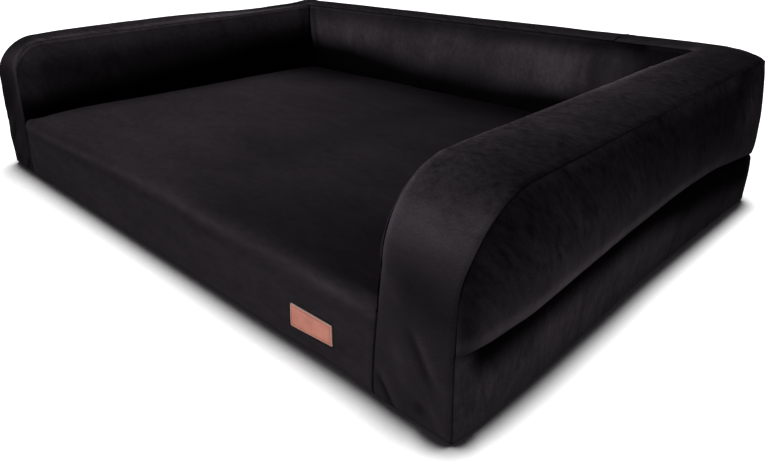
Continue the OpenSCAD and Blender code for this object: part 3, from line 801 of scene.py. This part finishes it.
def moulded(name, colour, rough, spec, scale, metal=0.0, streak=(1, 1, 1)):
    """Plastic, rubber or metal with fine marks in its finish."""
    m = material(name, colour, rough, metal, Specular_IOR_Level=spec)
    marks = noise(m, place(m, streak), scale, 4, 0.6)
    dark = tuple(c * 0.72 for c in colour)
    finish(m, "Roughness", plus(m, swing(m, marks, 0.3), rough))
    return patterned(m, marks, (0.3, dark), (0.7, colour), marks, 0.15, 0.08)


def fold(p, start, end, width, height, axes=(0, 2)):
    """A soft ridge, or a valley where height is below 0, along a line seen along the third axis."""
    run = np.subtract(end, start).astype(float)
    length = np.linalg.norm(run)
    run /= length
    q = p[..., list(axes)] - np.array(start, float)
    along = q @ run
    off = q @ np.array([-run[1], run[0]])
    ends = unit(0.25 + np.minimum(along, length - along) / (0.5 * length))
    return height * peak(off, width) * ends * ends * (3 - 2 * ends)


def on_front(p):
    """1 on the front face, 0 behind it."""
    return fall(-400, -380, p[..., 1])


def curve_angle(p, side):
    """Angle round an arm's front curve, in degrees: 0 on the face and 90 on the top."""
    e = EDGES[side]["out"]
    y, z = p[..., 1] - centre_y(e), p[..., 2] - start_z(e)
    return np.degrees(np.arctan2(np.maximum(z, 0), np.maximum(-y, 1e-6)))


def seat_folds(p):
    """The plush is pressed flat under the leather patch."""
    x, z = np.abs(p[..., 0] - PATCH_X) - PATCH_W / 2, np.abs(p[..., 2] - PATCH_Z) - PATCH_H / 2
    pressed = fall(-1, 6, np.maximum(x, z)) * on_front(p)
    h = -1.9 * pressed
    h = h + fold(p, (430, 20), (470, 60), 7, -0.7) * on_front(p)
    h = h + (fold(p, (-432, 4), (-482, 92), 5, 1.3) - fold(p, (-442, 2), (-490, 84), 5, 1.1)) * on_front(p)
    return h


def strip_front_folds(p, side):
    """Folds and dents in the strip up the front of an arm."""
    at = lambda a, b, w, h: fold(p, (side * a[0], a[1]), (side * b[0], b[1]), w, h)
    h = at((548, 116), (592, 58), 5, 1.9) + at((538, 108), (582, 48), 5.5, -1.9)
    h = h + at((500, 36), (532, -4), 4.5, -2.4) + at((508, 46), (542, 2), 6, 1.5)
    h = h - 1.8 * lump(p, (side * 564, 22), (9, 8))
    h = h + at((520, 92), (548, 40), 8, 1.2) + at((575, 42), (598, 6), 6, 1.2)
    h = h + at((498, 152), (538, 118), 7, 0.9)
    return h * on_front(p)


TOP_CREASES = ((590, 60), (560, 110)), ((592, 75), (545, 60)), ((588, 85), (540, 150)), ((596, 55), (570, 10))


def strip_folds(p, side):
    """Folds in the strip's front, at the back corner and, on the right arm, across its top."""
    h = strip_front_folds(p, side)
    if side > 0:
        for start, end in TOP_CREASES:
            h = h + fold(p, start, end, 6, 0.8, (0, 1)) * step(200, 240, p[..., 2])
    h = h + fold(p, (side * 560, 250), (side * 500, 322), 7, 1.0, (0, 1))
    return h - fold(p, (side * 575, 262), (side * 520, 334), 7, 0.9, (0, 1))


def upright(low, high, width, *marks):
    """Rows for folds that run up a panel from low to high; marks give each one's place, lean and height."""
    return [((at, low), (at + lean, high), width, rise) for at, lean, rise in marks]


def folds_of(rows, axes=(0, 2)):
    """The folds in rows of start, end, width and height, as a function of a panel's points."""
    return lambda p: sum(fold(p, *row, axes) for row in rows)


# Small gathers where the long crease starts, and slack hollows along the bolster's side
outer_folds = folds_of(
    [((-404, 108), (-362, 140), 4, 0.9), ((-404, 112), (-372, 150), 4, -0.8), ((-400, 104), (-340, 118), 3.5, 0.7),
     ((-250, 145), (-242, 235), 13, 0.7), ((-120, 130), (-126, 220), 13, -0.8), ((40, 140), (50, 230), 13, 0.7),
     ((190, 135), (182, 225), 13, -0.7)], (1, 2))
base_folds = folds_of(
    [((-404, 96), (-380, 40), 5, 0.8), ((-396, 98), (-366, 50), 5, -0.7)]
    + upright(14, 88, 9, (-330, 10, -0.8), (-290, 6, 0.7), (-180, -12, -0.7), (-60, 8, 0.7), (110, -8, -0.8),
              (250, 9, 0.7)), (1, 2))
arm_inner_folds = folds_of(
    [((322, 250), (296, 120), 6, 2.4), ((308, 250), (284, 130), 7, -1.4)]
    + upright(150, 240, 10, (-250, 12, 0.8), (-150, -10, -0.7), (-20, 8, 0.8), (120, -9, -0.8), (220, 8, 0.7)),
    (1, 2))
back_inner_folds = folds_of(
    [((-488, 250), (-462, 120), 6, 2.4), ((-474, 250), (-446, 130), 7, -1.4),
     ((488, 250), (462, 120), 6, 2.4), ((474, 250), (446, 130), 7, -1.4)]
    + upright(165, 245, 7, (310, 6, 1.0), (335, -5, -0.9), (362, 7, 0.9), (395, -6, -0.8), (430, 5, 0.8),
              (-330, 10, 0.7), (-180, -8, -0.7), (-60, 10, 0.7), (90, -9, 0.6), (200, 8, -0.7)))
back_outer_folds = folds_of(upright(
    150, 240, 10, (-460, 8, 0.8), (-300, -9, -0.7), (-140, 10, 0.7), (30, -8, -0.8), (210, 9, 0.8), (420, -8, -0.7)))

# Height of the painted highlight along the seat's front edge, and how bright it is, from left to right
edge_highlight_rows = through([
    [-495, 101, 0.2], [-310, 103, 0.24], [-142, 106.5, 0.3], [38, 108.5, 0.34], [167, 103.5, 0.4], [300, 102.4, 0.14],
    [411, 100.2, 0.46], [470, 98, 0.3]])


# Painted light and shade on the seat: a painted slope of light across its top, painted shade along the back, a
# painted highlight along the front edge with a little shade under it, and painted light and shade on the folds near
# the arms.
def seat_painted_shading(p):
    x, y, z = np.moveaxis(p, -1, 0)
    painted_light_slope = 0.836 - 0.00175 * x - 0.000827 * y
    top = 0.4 + 0.9 * step(0.25, 1.5, painted_light_slope) + 0.1 * lump(p, (-40, 0), (190, 190), (0, 1))
    top = top * (1 + 0.55 * step(40, 190, x) * fall(110, 230, y) * step(-330, -200, y))
    far_left = fall(-350, -150, x)
    top = top * (1 - (0.6 + 0.2 * far_left) * step(170 - 80 * far_left, 300, y))
    front = 0.88 + 0.1 * x / ARM
    n = top + (front - top) * fall(-412, -392, y)
    high, light = edge_highlight_rows(x)
    # painted highlight along the front edge, with painted shade just below it
    line = 1.15 * light * peak(z - high, 4.6) - 0.1 * peak(z - high + 14, 7)
    return (n + line * fall(-397, -385, y)) * (1 + 0.16 * seat_folds(p) * (np.abs(x) > 400))


# Painted light and shade on an arm's strip: painted highlights along its inner seam, round its front curve and along
# its back edge, a lighter top, painted shade across its face and towards the back, painted light and shade on its
# folds, and the left strip's face painted darker.
def strip_painted_shading(p, side):
    x, y, z = p[..., 0] * side, p[..., 1], p[..., 2]
    turn = curve_angle(p, side)
    low = fall(-300, -270, y)
    across = unit((x - ARM) / 105)
    # painted highlights along the inner seam and round the front curve
    rim = peak(x - ARM, 8) * step(90, 190, z) * (1 - 0.6 * step(220, 320, y))
    band = peak(turn - 41, 14) * low
    face = 0.88 - 0.32 * peak(z - 148, 34) * step(0.05, 0.45, across)
    top = (1.5 - 0.98 * across) * (1 - 0.4 * step(30, 260, y)) * (1 - 0.16 * fall(-280, -180, y))
    top = top + 1.2 * fall(0.0, 0.32, across) * step(-80, 40, y) * fall(240, 320, y)
    n = face + (top - face) * step(50, 80, turn)
    n = n + 1.6 * rim + 0.8 * band
    n = n + 0.9 * peak(y - 404, 9) * step(470, 540, x)
    n = n * (1 + 0.24 * strip_front_folds(p, side))
    if side < 0:
        edges = peak(across - 0.1, 0.25) + 0.4 * peak(across - 0.9, 0.2)
        n = n * (0.5 + 0.45 * step(55, 85, turn)) * (1 + 0.4 * edges * peak(turn - 33, 24))
    back = 0.7 + 0.9 * peak(y - 408, 7)
    return n + (back - n) * step(330, 352, y) * fall(470, 540, x)


def strip_marks(p, side):
    """Few wisps on the arm's front, all of them on its top."""
    return 0.12 + 0.88 * step(30, 75, curve_angle(p, side))


def arm_inner_painted_shading(p):
    """Painted shade low on the arm's inner face and painted light along its top."""
    y, share = p[..., 1], (p[..., 2] - 110) / 147
    dark = 0.24 + 0.34 * step(-420, 300, y)
    return 0.12 + 0.85 * step(dark - 0.14, dark + 0.2, share) + 1.15 * step(0.62, 0.97, share)


# Painted light and shade along the back's inner panel: how light its middle is, at least, how much darker it is
# painted on top, from and to which height, and the heights between which it is painted dark below
back_shading_rows = through([
    [-484, 1.10, 0.15, 0.60, 210, 256, 158, 206], [-340, 1.10, 0.15, 0.60, 210, 256, 158, 206],
    [-223, 0.95, 0.15, 0.65, 212, 258, 142, 210], [-100, 0.86, 0.15, 0.70, 212, 260, 128, 190],
    [-10, 0.92, 0.15, 0.68, 228, 262, 126, 204], [70, 0.87, 0.15, 0.62, 212, 256, 122, 200],
    [170, 1.04, 0.15, 0.75, 228, 254, 128, 182], [265, 1.45, 0.15, 0.83, 212, 256, 138, 186],
    [315, 0.70, 0.15, 0.78, 228, 254, 138, 186], [355, 0.52, 0.12, 0.88, 232, 262, 138, 186],
    [385, 0.56, 0.08, 0.92, 228, 262, 138, 186], [410, 0.36, 0.04, 0.92, 226, 260, 138, 186],
    [440, 0.06, 0.25, 0.50, 226, 260, 138, 186], [484, 0.06, 0.25, 0.50, 226, 260, 138, 186]])


def back_inner_painted_shading(p):
    """Painted light across the middle of the back's inner panel, painted shade along its top and bottom, and painted
    light and shade on its folds.
    """
    z = p[..., 2]
    middle, least, darker, top_from, top_to, low_from, low_to = back_shading_rows(p[..., 0])
    glow = middle * (1 - darker * step(top_from, top_to, z)) * step(low_from, low_to, z)
    return least + 1.8 * glow * (1 + 0.27 * back_inner_folds(p))


def height_share(p):
    """Height over the long crease, from 0 there to 1 at the outer seam."""
    low = crease_height(p[..., 1])
    return unit((p[..., 2] - low) / (250 - low))


# Painted light and shade along the bolster's side: all over, how much lighter low down, how fast that fades, and a
# highlight at the lip
outer_shading_rows = through([
    [FRONT, 0.3, 1.4, 2, 1.04], [-370, 0.3, 1.4, 2, 1.1], [-280, 0.38, 2, 2, 1.3], [-165, 0.42, 1.75, 2, 1.3],
    [-70, 0.34, 1.35, 2.5, 1.2], [50, 0.28, 0.95, 2.6, 0.85], [200, 0.2, 0.95, 3, 0.35], [300, 0.34, 0.6, 3.2, 0.15],
    [385, 0.7, 0.4, 3, 0], [414, 1, 0, 3, 0]])


# Painted light and shade on the bolster's side: painted light low down and a painted highlight along the lip, lighter
# near the top and in a spot towards the back, and painted shade at its front end.
def outer_painted_shading(p):
    y = p[..., 1]
    t = height_share(p)
    base, glow, power, lip = outer_shading_rows(y)
    n = base + glow * (1 - t) ** power + lip * peak(t - 0.06, 0.06)
    n = n + 0.3 * step(0.86, 0.99, t) * fall(-140, 0, y)
    n = n + (0.36 * step(0.8, 1, t) + 0.04 * step(0.4, 0.8, t)) * step(-70, 50, y) * fall(210, 270, y)
    n = n + 0.5 * lump(p, (315, 188), (42, 42), (1, 2))
    return n * (1 - 0.5 * peak(y + 408, 20))


def outer_marks(p):
    """Fewer wisps low on the bolster's side."""
    return 0.3 + 0.7 * step(0.15, 0.5, height_share(p))


# Painted light and shade on the base's side: a painted shadow under the bolster's lip, lighter towards the front and
# in two patches, darker towards the back.
def base_painted_shading(p):
    y, z = p[..., 1], p[..., 2]
    below = crease_height(y) - z
    reach = bulge_reach(y)
    rear = step(-40, 150, y)
    # painted shadow under the lip
    under = fall(0.6 * reach + 12 + 16 * rear, 0.9 * reach + 46 + 34 * rear, below)
    lit = 1.2 + 0.65 * fall(-330, -160, y) + 0.75 * lump(p, (-90, 35), (170, 60), (1, 2))
    lit = lit - 0.3 * step(60, 330, y) * fall(375, 415, y) + 0.7 * lump(p, (-220, 58), (75, 42), (1, 2))
    return lit * (1 - 0.94 * under * step(-408, -375, y) * (1 - 0.4 * step(360, 405, y)))


SEAT_FOAM = ["memory_foam_topper.block", "support_foam.block"]
BACK_FOAM = ["back_bolster_foam.block"]
sewn_panel("seat_front_panel", *seat_points(), seat_velvet, (0.99, 0.87), SEAT_FOAM, folds=seat_folds, painted_shading=seat_painted_shading)
for side, word in ((1, "right"), (-1, "left")):
    arm_foam = [word + "_bolster_foam.block"]
    sewn_panel(
        word + "_strip", *mirrored(strip_points(side, JOIN * side, 2.8), side), strip_velvet,
        (0.12, 1.2 if side > 0 else 1.9), arm_foam + BACK_FOAM, folds=lambda p: strip_folds(p, side),
        painted_shading=lambda p: strip_painted_shading(p, side), marks=lambda p: strip_marks(p, side))
    sewn_panel(
        word + "_inner_panel", *mirrored(arm_inner_points(side), side), strip_velvet, (0.17, 0.8), arm_foam,
        folds=arm_inner_folds, painted_shading=arm_inner_painted_shading, marks=lambda p: 0.5)
    sewn_panel(
        word + "_outer_panel", *mirrored(arm_outer_points(side), side), side_velvet, (0.2, 0.9), arm_foam,
        sewn=(2, 1, 1, 2), folds=outer_folds, painted_shading=outer_painted_shading, marks=outer_marks)
    sewn_panel(
        word + "_base_panel", *mirrored(arm_base_points(side), side), side_velvet, (0.11, 0.9), SEAT_FOAM,
        sewn=(2, 1, 1, 1), folds=base_folds, painted_shading=base_painted_shading, marks=lambda p: 0.6)
sewn_panel("back_inner_panel", *back_inner_points(), strip_velvet, (0.17, 0.99), BACK_FOAM,
           folds=back_inner_folds, painted_shading=back_inner_painted_shading, marks=lambda p: 0.45)

BASE_ZIP, BOLSTER_ZIP, MOUTH = 46.0, 128.0, 6.5
TUCK_Y = BACK - CREASE_DRAW
for node, depth, foam_blocks, sewn, folds, rows in (
    ("back_base_band", 0.037, SEAT_FOAM, (1, 1, 1, 0), None, [
        [0, FLOOR_Z, BACK - DRAW, 0], [0.35, 14, BACK, 0], [1, BASE_ZIP - MOUTH, BACK, 0]]),
    ("back_base_panel", 0.047, SEAT_FOAM, (1, 1, 0, 1), None, [
        [0, BASE_ZIP + MOUTH, BACK, 0], [0.7, EDGE_Z, BACK, 0], [1, CREASE_Z, TUCK_Y, 0]]),
    ("back_zip_band", 0.025, BACK_FOAM, (1, 1, 1, 0), None, [
        [0, CREASE_Z + 0.6, TUCK_Y, 0], [0.4, CREASE_Z + 8, BACK, 0], [1, BOLSTER_ZIP - MOUTH, BACK, 0]]),
    ("back_outer_panel", 0.125, BACK_FOAM, (1, 1, 0, 1), back_outer_folds, [
        [0, BOLSTER_ZIP + MOUTH, BACK, 0], [0.12, 149, BACK, 3.4], [0.3, 172, BACK, 6.7], [0.5, 197, BACK, 8],
        [0.75, 228, BACK, 6], [1, OUTER_END, BACK, 0]]),
):
    sewn_panel(node, *back_points(rows), side_velvet, (depth, 1.08), foam_blocks, sewn=sewn, folds=folds)


def front_face(x, z):
    """Place of the front panel's surface before it puffs up."""
    return front_at(z, x / ARM) - 3 * min(1, (z - FLOOR_Z) / 30) * front_swell(x / ARM)


def lay_on_front(bm):
    """Moves a flat shape drawn in x and z, with its thickness towards -y, onto the front panel."""
    for v in bm.verts:
        x, z = v.co.x / MM, v.co.z / MM
        z += max(0.0, 0.5 - z / PATCH_H) * (1.6 + 1.6 * x / PATCH_W * 2)
        x, z = PATCH_X + x, PATCH_Z + z
        v.co = Vector(settle(np.array([x, float(front_face(x, z)) + v.co.y / MM, z]))) * MM


PATCH_T, PATCH_R, BEVEL_IN, RIM_IN = 1.6, 1.6, 0.35, 0.8
GROOVE_IN, GROOVE_SIDE, GROOVE_DEEP = 3.0, 0.4, 0.28
FLAT_IN = GROOVE_IN - GROOVE_SIDE - BEVEL_IN - RIM_IN
bm = bmesh.new()
bmesh.ops.create_grid(bm, x_segments=1, y_segments=1, size=0.5)
bmesh.ops.scale(bm, vec=(PATCH_W * MM, PATCH_H * MM, 1), verts=bm.verts)
bmesh.ops.rotate(bm, cent=(0, 0, 0), matrix=Matrix.Rotation(math.pi / 2, 3, "X"), verts=bm.verts)
bmesh.ops.bevel(bm, geom=bm.verts[:], offset=PATCH_R * MM, affect="VERTICES", segments=5, profile=0.5, material=-1)
for turn, reach, count in (((1, 0, 0), PATCH_W, 12), ((0, 0, 1), PATCH_H, 6)):
    cut_across(bm, turn, [(k / count - 0.5) * reach for k in range(1, count)])
grown = bmesh.ops.extrude_face_region(bm, geom=bm.faces[:])["geom"]
face = [f for f in grown if isinstance(f, bmesh.types.BMFace)]
raised = [v for v in grown if isinstance(v, bmesh.types.BMVert)]
bmesh.ops.translate(bm, vec=(0, -(PATCH_T - BEVEL_IN) * MM, 0), verts=raised)
for thickness, depth in (
    (BEVEL_IN, BEVEL_IN), (RIM_IN, 0), (FLAT_IN, 0), (GROOVE_SIDE, -GROOVE_DEEP), (GROOVE_SIDE, GROOVE_DEEP)
):
    bmesh.ops.inset_region(bm, faces=face, thickness=thickness * MM, depth=depth * MM, use_even_offset=True)
    if thickness == RIM_IN:
        # The rounded corners are joined to one point each, so that the groove inside has sharp corners
        front_y = min(v.co.y for v in bm.verts)
        off = (np.array([PATCH_W / 2, PATCH_H / 2]) - BEVEL_IN - RIM_IN) * MM
        for sx in (-1, 1):
            for sz in (-1, 1):
                spot = Vector((sx * off[0], front_y, sz * off[1]))
                arc = [v for f in face if f.is_valid for v in f.verts if (v.co - spot).length < 0.7 * MM]
                bmesh.ops.pointmerge(bm, verts=list(set(arc)), merge_co=spot)
        inside = lambda c: c.y < front_y + 1e-6 and abs(c.x) < off[0] + 1e-6 and abs(c.z) < off[1] + 1e-6
        face = [f for f in bm.faces if all(inside(v.co) for v in f.verts)]
bmesh.ops.recalc_face_normals(bm, faces=bm.faces)
edge_share = bm.verts.layers.float.new("Edge")
line_share = bm.verts.layers.float.new("Line")
for v in bm.verts:
    inwards = min(PATCH_W / 2 - abs(v.co.x) / MM, PATCH_H / 2 - abs(v.co.z) / MM)
    v[edge_share] = max(0.0, 1 - inwards / 2.6)
    v[line_share] = float(abs(inwards - GROOVE_IN) < 0.2)
lay_on_front(bm)
patch = finish_mesh("label_patch.leather", bm, paint=[leather("Leather of the patch")])
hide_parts("label_patch")

STITCH, STITCH_L, STITCH_T, STITCH_W = 3.4, 2.3, 0.55, 0.6
bm = bmesh.new()
half_w, half_h = PATCH_W / 2 - GROOVE_IN, PATCH_H / 2 - GROOVE_IN
for upright_row, half, off in ((False, half_w, half_h), (True, half_h, half_w)):
    count = round(2 * half / STITCH)
    for side in (-1, 1):
        for k in range(count):
            x, z = (k + 0.5) * (2 * half / count) - half, side * off
            size = STITCH_L, STITCH_T, STITCH_W
            if upright_row:
                x, z, size = z, x, size[::-1]
            bead(bm, (x, -PATCH_T + 0.12, z), size)
lay_on_front(bm)
stitches = finish_mesh("label_patch.stitching", bm, paint=[
    thread("Thread of the patch", (0.3, 0.06, 0.05), (0.16, 0.03, 0.025))])

# Filling
firm = foam("Firm foam", (0.56, 0.52, 0.4), (0.36, 0.33, 0.25), 1.6)
memory = foam("Memory foam", (0.8, 0.74, 0.6), (0.62, 0.56, 0.43), 0.9)
loose = foam("Bolster foam", (0.72, 0.67, 0.55), (0.5, 0.46, 0.36), 2.2)
for node, slot, paint in (
    ("support_foam", "firm_foam", firm), ("memory_foam_topper", "memory_foam", memory),
    ("left_bolster_foam", "bolster_foam", loose), ("right_bolster_foam", "bolster_foam", loose),
    ("back_bolster_foam", "bolster_foam", loose),
):
    softened(node, 2.5, paint, segments=3, kind=".block")

# Linings
lining = woven("Lining", (0.022, 0.022, 0.026), (0.006, 0.006, 0.008), 0.7)
divider = softened("divider_panel", 0.3, lining, segments=1, kind=".layer", smooth=False)

grip = moulded("Grip dots", (0.012, 0.012, 0.013), 0.8, 0.3, 900)
underside = woven("Underside", (0.011, 0.01, 0.012), (0.004, 0.004, 0.005), 0.9)
DOT_H, DOT_PITCH, DOT_NX, DOT_NY = 0.8, 24.0, 48, 33
bm = merged("bottom_panel")
for v in bm.verts:
    if v.co.z < 1 * MM:
        v.co.z = DOT_H * MM
cut_across(bm, (0, 1, 0), range(-400, 320, 40))
cut_across(bm, (1, 0, 0), (-500, -470, -440, -410, -380, 380, 400, 420, 440, 460, 480, 500))
for v in bm.verts:
    v.co = Vector(settle(np.array(v.co) / MM)) * MM
round_edges(bm, 0.7)
bottom = finish_mesh("bottom_panel.sheet", bm, paint=[underside])
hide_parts("bottom_panel")
bm = bmesh.new()
bmesh.ops.create_cone(bm, cap_ends=True, segments=12, radius1=2.4 * MM, radius2=3.2 * MM, depth=(DOT_H + 0.1) * MM)
corner = (-(DOT_NX - 1) / 2 * DOT_PITCH, -(DOT_NY - 1) / 2 * DOT_PITCH, (DOT_H + 0.1) / 2)
bmesh.ops.translate(bm, vec=Vector(corner) * MM, verts=bm.verts)
repeat(bm, (DOT_PITCH, 0, 0), DOT_NX)
repeat(bm, (0, DOT_PITCH, 0), DOT_NY)
dots = finish_mesh("bottom_panel.dots", bm, paint=[grip], smooth=False)

# Zips
ROW_Y, ROW_T, ROW_GAP, ROW_W = 412.8, 2.2, 0.9, 2.3
CHAIN, TOOTH_PITCH, TOOTH_W, TIP = 1038.8, 2.4, 1.55, 0.6
tape = woven("Zip tape", (0.014, 0.014, 0.016), (0.004, 0.004, 0.005), 0.8)
nylon = moulded("Zip teeth", (0.011, 0.01, 0.011), 0.55, 0.12, 700)
nickel = moulded("Zip metal", (0.5, 0.5, 0.52), 0.34, 0.5, 260, 1.0, (1, 1, 6))
black_thread = thread("Black thread", (0.012, 0.011, 0.013), (0.004, 0.004, 0.005))


def teeth(name, z):
    """Two rows of moulded teeth whose tips meet in the middle, half a tooth apart."""
    bm = bmesh.new()
    for side in (-1, 1):
        tooth = bmesh.ops.create_cube(bm, size=1)["verts"]
        tip = [v for v in tooth if v.co.z < 0]
        bmesh.ops.scale(bm, vec=(0.6, 0.8, 1), verts=tip)
        high = ROW_GAP + ROW_W - TIP
        bmesh.ops.scale(bm, vec=(TOOTH_W * MM, ROW_T * MM, high * MM), verts=tooth)
        bmesh.ops.translate(bm, vec=(0, 0, (TIP + high / 2) * MM), verts=tooth)
        edges = list({e for v in tooth for e in v.link_edges})
        made = bmesh.ops.bevel(bm, geom=edges, offset=0.25 * MM, affect="EDGES", segments=1, profile=0.5, material=-1)
        solid = list({v for f in made["faces"] for v in f.verts})
        if side < 0:
            bmesh.ops.rotate(bm, cent=(0, 0, 0), matrix=Matrix.Rotation(math.pi, 3, "Y"), verts=solid)
        start = -CHAIN / 2 + TOOTH_PITCH * (0.35 if side > 0 else 0.85)
        bmesh.ops.translate(bm, vec=Vector((start, ROW_Y + ROW_T / 2, z)) * MM, verts=solid)
    repeat(bm, (TOOTH_PITCH, 0, 0), 432)
    obj = finish_mesh(name + ".teeth", bm, paint=[nylon], smooth=False)
    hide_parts(name)


def topstitch(name, heights):
    """Rows of stitches through the velvet along a zip, at the given heights."""
    bm = bmesh.new()
    for z in heights:
        bead(bm, (-BACK_SEAM + 8, BACK + 1.35, z), (2.6, 0.7, 0.6))
    repeat(bm, (3.6, 0, 0), 294)
    finish_mesh(name, bm, paint=[black_thread])


for word, z in (("base", BASE_ZIP), ("bolster", BOLSTER_ZIP)):
    for part in ("_zip_upper_tape", "_zip_lower_tape"):
        softened(word + part, 0.25, tape, segments=1, kind=".woven")
    teeth(word + "_zip_chain", z)
    softened(word + "_zip_stops", 0.3, nickel, kind=".metal")
    softened(word + "_zip_slider", 0.28, nickel, word + "_zip_slider", kind=".metal")
    bm = merged(word + "_zip_pull")
    low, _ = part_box(word + "_zip_pull")
    at_end = [e for e in bm.edges if all(v.co.x < low[0] + 1e-5 for v in e.verts)]
    ends = [e for e in at_end if abs(e.verts[0].co.y - e.verts[1].co.y) > 1e-4]
    bmesh.ops.bevel(bm, geom=ends, offset=2.6 * MM, affect="EDGES", segments=5, profile=0.5, material=-1)
    round_edges(bm, 0.25)
    pull = finish_mesh(word + "_zip_pull.metal", bm, word + "_zip_pull", paint=[nickel])
    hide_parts(word + "_zip_pull")
    topstitch(word + "_zip.stitching", (z - MOUTH - 4, z + MOUTH + 4))

# Camera, floor and light
AZIMUTH, PITCH, ROLL = (math.radians(a) for a in (-44.843, 25.991, -0.764))
ahead = Vector((math.sin(AZIMUTH) * math.cos(PITCH), math.cos(AZIMUTH) * math.cos(PITCH), -math.sin(PITCH)))
right = ahead.cross(Vector((0, 0, 1))).normalized()
up = right.cross(ahead)
cos, sin = math.cos(ROLL), math.sin(ROLL)
right, up = right * cos + up * sin, up * cos - right * sin
camera = put("Camera", bpy.data.cameras.new("Camera"))
camera.data.sensor_width = 36.0
camera.data.lens = 30.145
camera.matrix_world = Matrix((
    (right.x, up.x, -ahead.x, 0.8932), (right.y, up.y, -ahead.y, -0.7992), (right.z, up.z, -ahead.z, 0.4649),
    (0, 0, 0, 1),
))
scene.camera = camera


def seen_rays(m):
    """1 for what the camera sees, directly, in gloss or through glass."""
    path = add(m, "LightPath")
    seen = math_of(m, "MAXIMUM", path.outputs["Is Camera Ray"], path.outputs["Is Glossy Ray"])
    return math_of(m, "MAXIMUM", seen, path.outputs["Is Transmission Ray"])


bm = bmesh.new()
bmesh.ops.create_grid(bm, x_segments=1, y_segments=1, size=40)
white_floor = material("Floor", (0.9, 0.9, 0.9), 1.0, Specular_IOR_Level=0.0)
floor = mesh_object("Floor", bm, False, [white_floor])
# The floor as the camera sees it is darkened near the bed by ambient occlusion and a pool at the front right corner:
# a painted contact shadow, added to the lamps' own shadow.
on_floor = add(white_floor, "TexCoord").outputs["Object"]
sideways, before, _ = add(white_floor, "SeparateXYZ", {0: on_floor}).outputs
front_reach = map_range(white_floor, sideways, -0.6, 0.0, 0.11, 0.082)
reach = map_range(white_floor, before, -0.47, -0.4, front_reach, 0.046)
contact = add(white_floor, "AmbientOcclusion", {"Distance": reach}, samples=24)
corner = add(white_floor, "VectorMath", {0: on_floor, 1: (0.6, -0.42, 0)}, operation="DISTANCE").outputs["Value"]
painted_shadow_pool = map_range(white_floor, corner, 0.0, 0.042, 0.12, 0.0, "SMOOTHSTEP")
open_sky = math_of(white_floor, "SUBTRACT", contact.outputs["AO"], painted_shadow_pool)
painted_contact_shadow = tones(white_floor, open_sky, (0.55, (0.013, 0.0115, 0.013)), (0.93, (0.9, 0.9, 0.9)))
seen = seen_rays(white_floor)
finish(white_floor, "Base Color", mix(white_floor, seen, (0.9, 0.9, 0.9, 1), painted_contact_shadow))
finish(white_floor, "Emission Color", painted_contact_shadow)
finish(white_floor, "Emission Strength", times(white_floor, seen, 0.85))
floor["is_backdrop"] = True

world = bpy.data.worlds.new("World")
scene.world = world
world.use_nodes = True
dim = world.node_tree.nodes["Background"]
dim.inputs["Color"].default_value = (1, 1, 1, 1)
dim.inputs["Strength"].default_value = 0.13
white = add(world, "Background", {"Color": (1, 1, 1, 1), "Strength": 1.0})
both = add(world, "MixShader", {0: seen_rays(world), 1: dim.outputs["Background"], 2: white.outputs["Background"]})
world.node_tree.links.new(both.outputs["Shader"], world.node_tree.nodes["World Output"].inputs["Surface"])


def sun_light(name, towards, share, angle):
    """A far soft light from the direction towards; share is how far it alone lights a surface that faces it."""
    lamp = bpy.data.lights.new(name, "SUN")
    lamp.energy = share * math.pi
    lamp.angle = math.radians(angle)
    obj = put(name, lamp)
    obj.rotation_mode = "QUATERNION"
    obj.rotation_quaternion = Vector(towards).to_track_quat("Z", "Y")


sun_light("Front light", (-0.2, -1.0, 0.42), 0.45, 45)
sun_light("Top light", (-0.12, -0.15, 1.0), 0.58, 60)

scene.view_settings.view_transform = "Standard"

low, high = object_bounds()
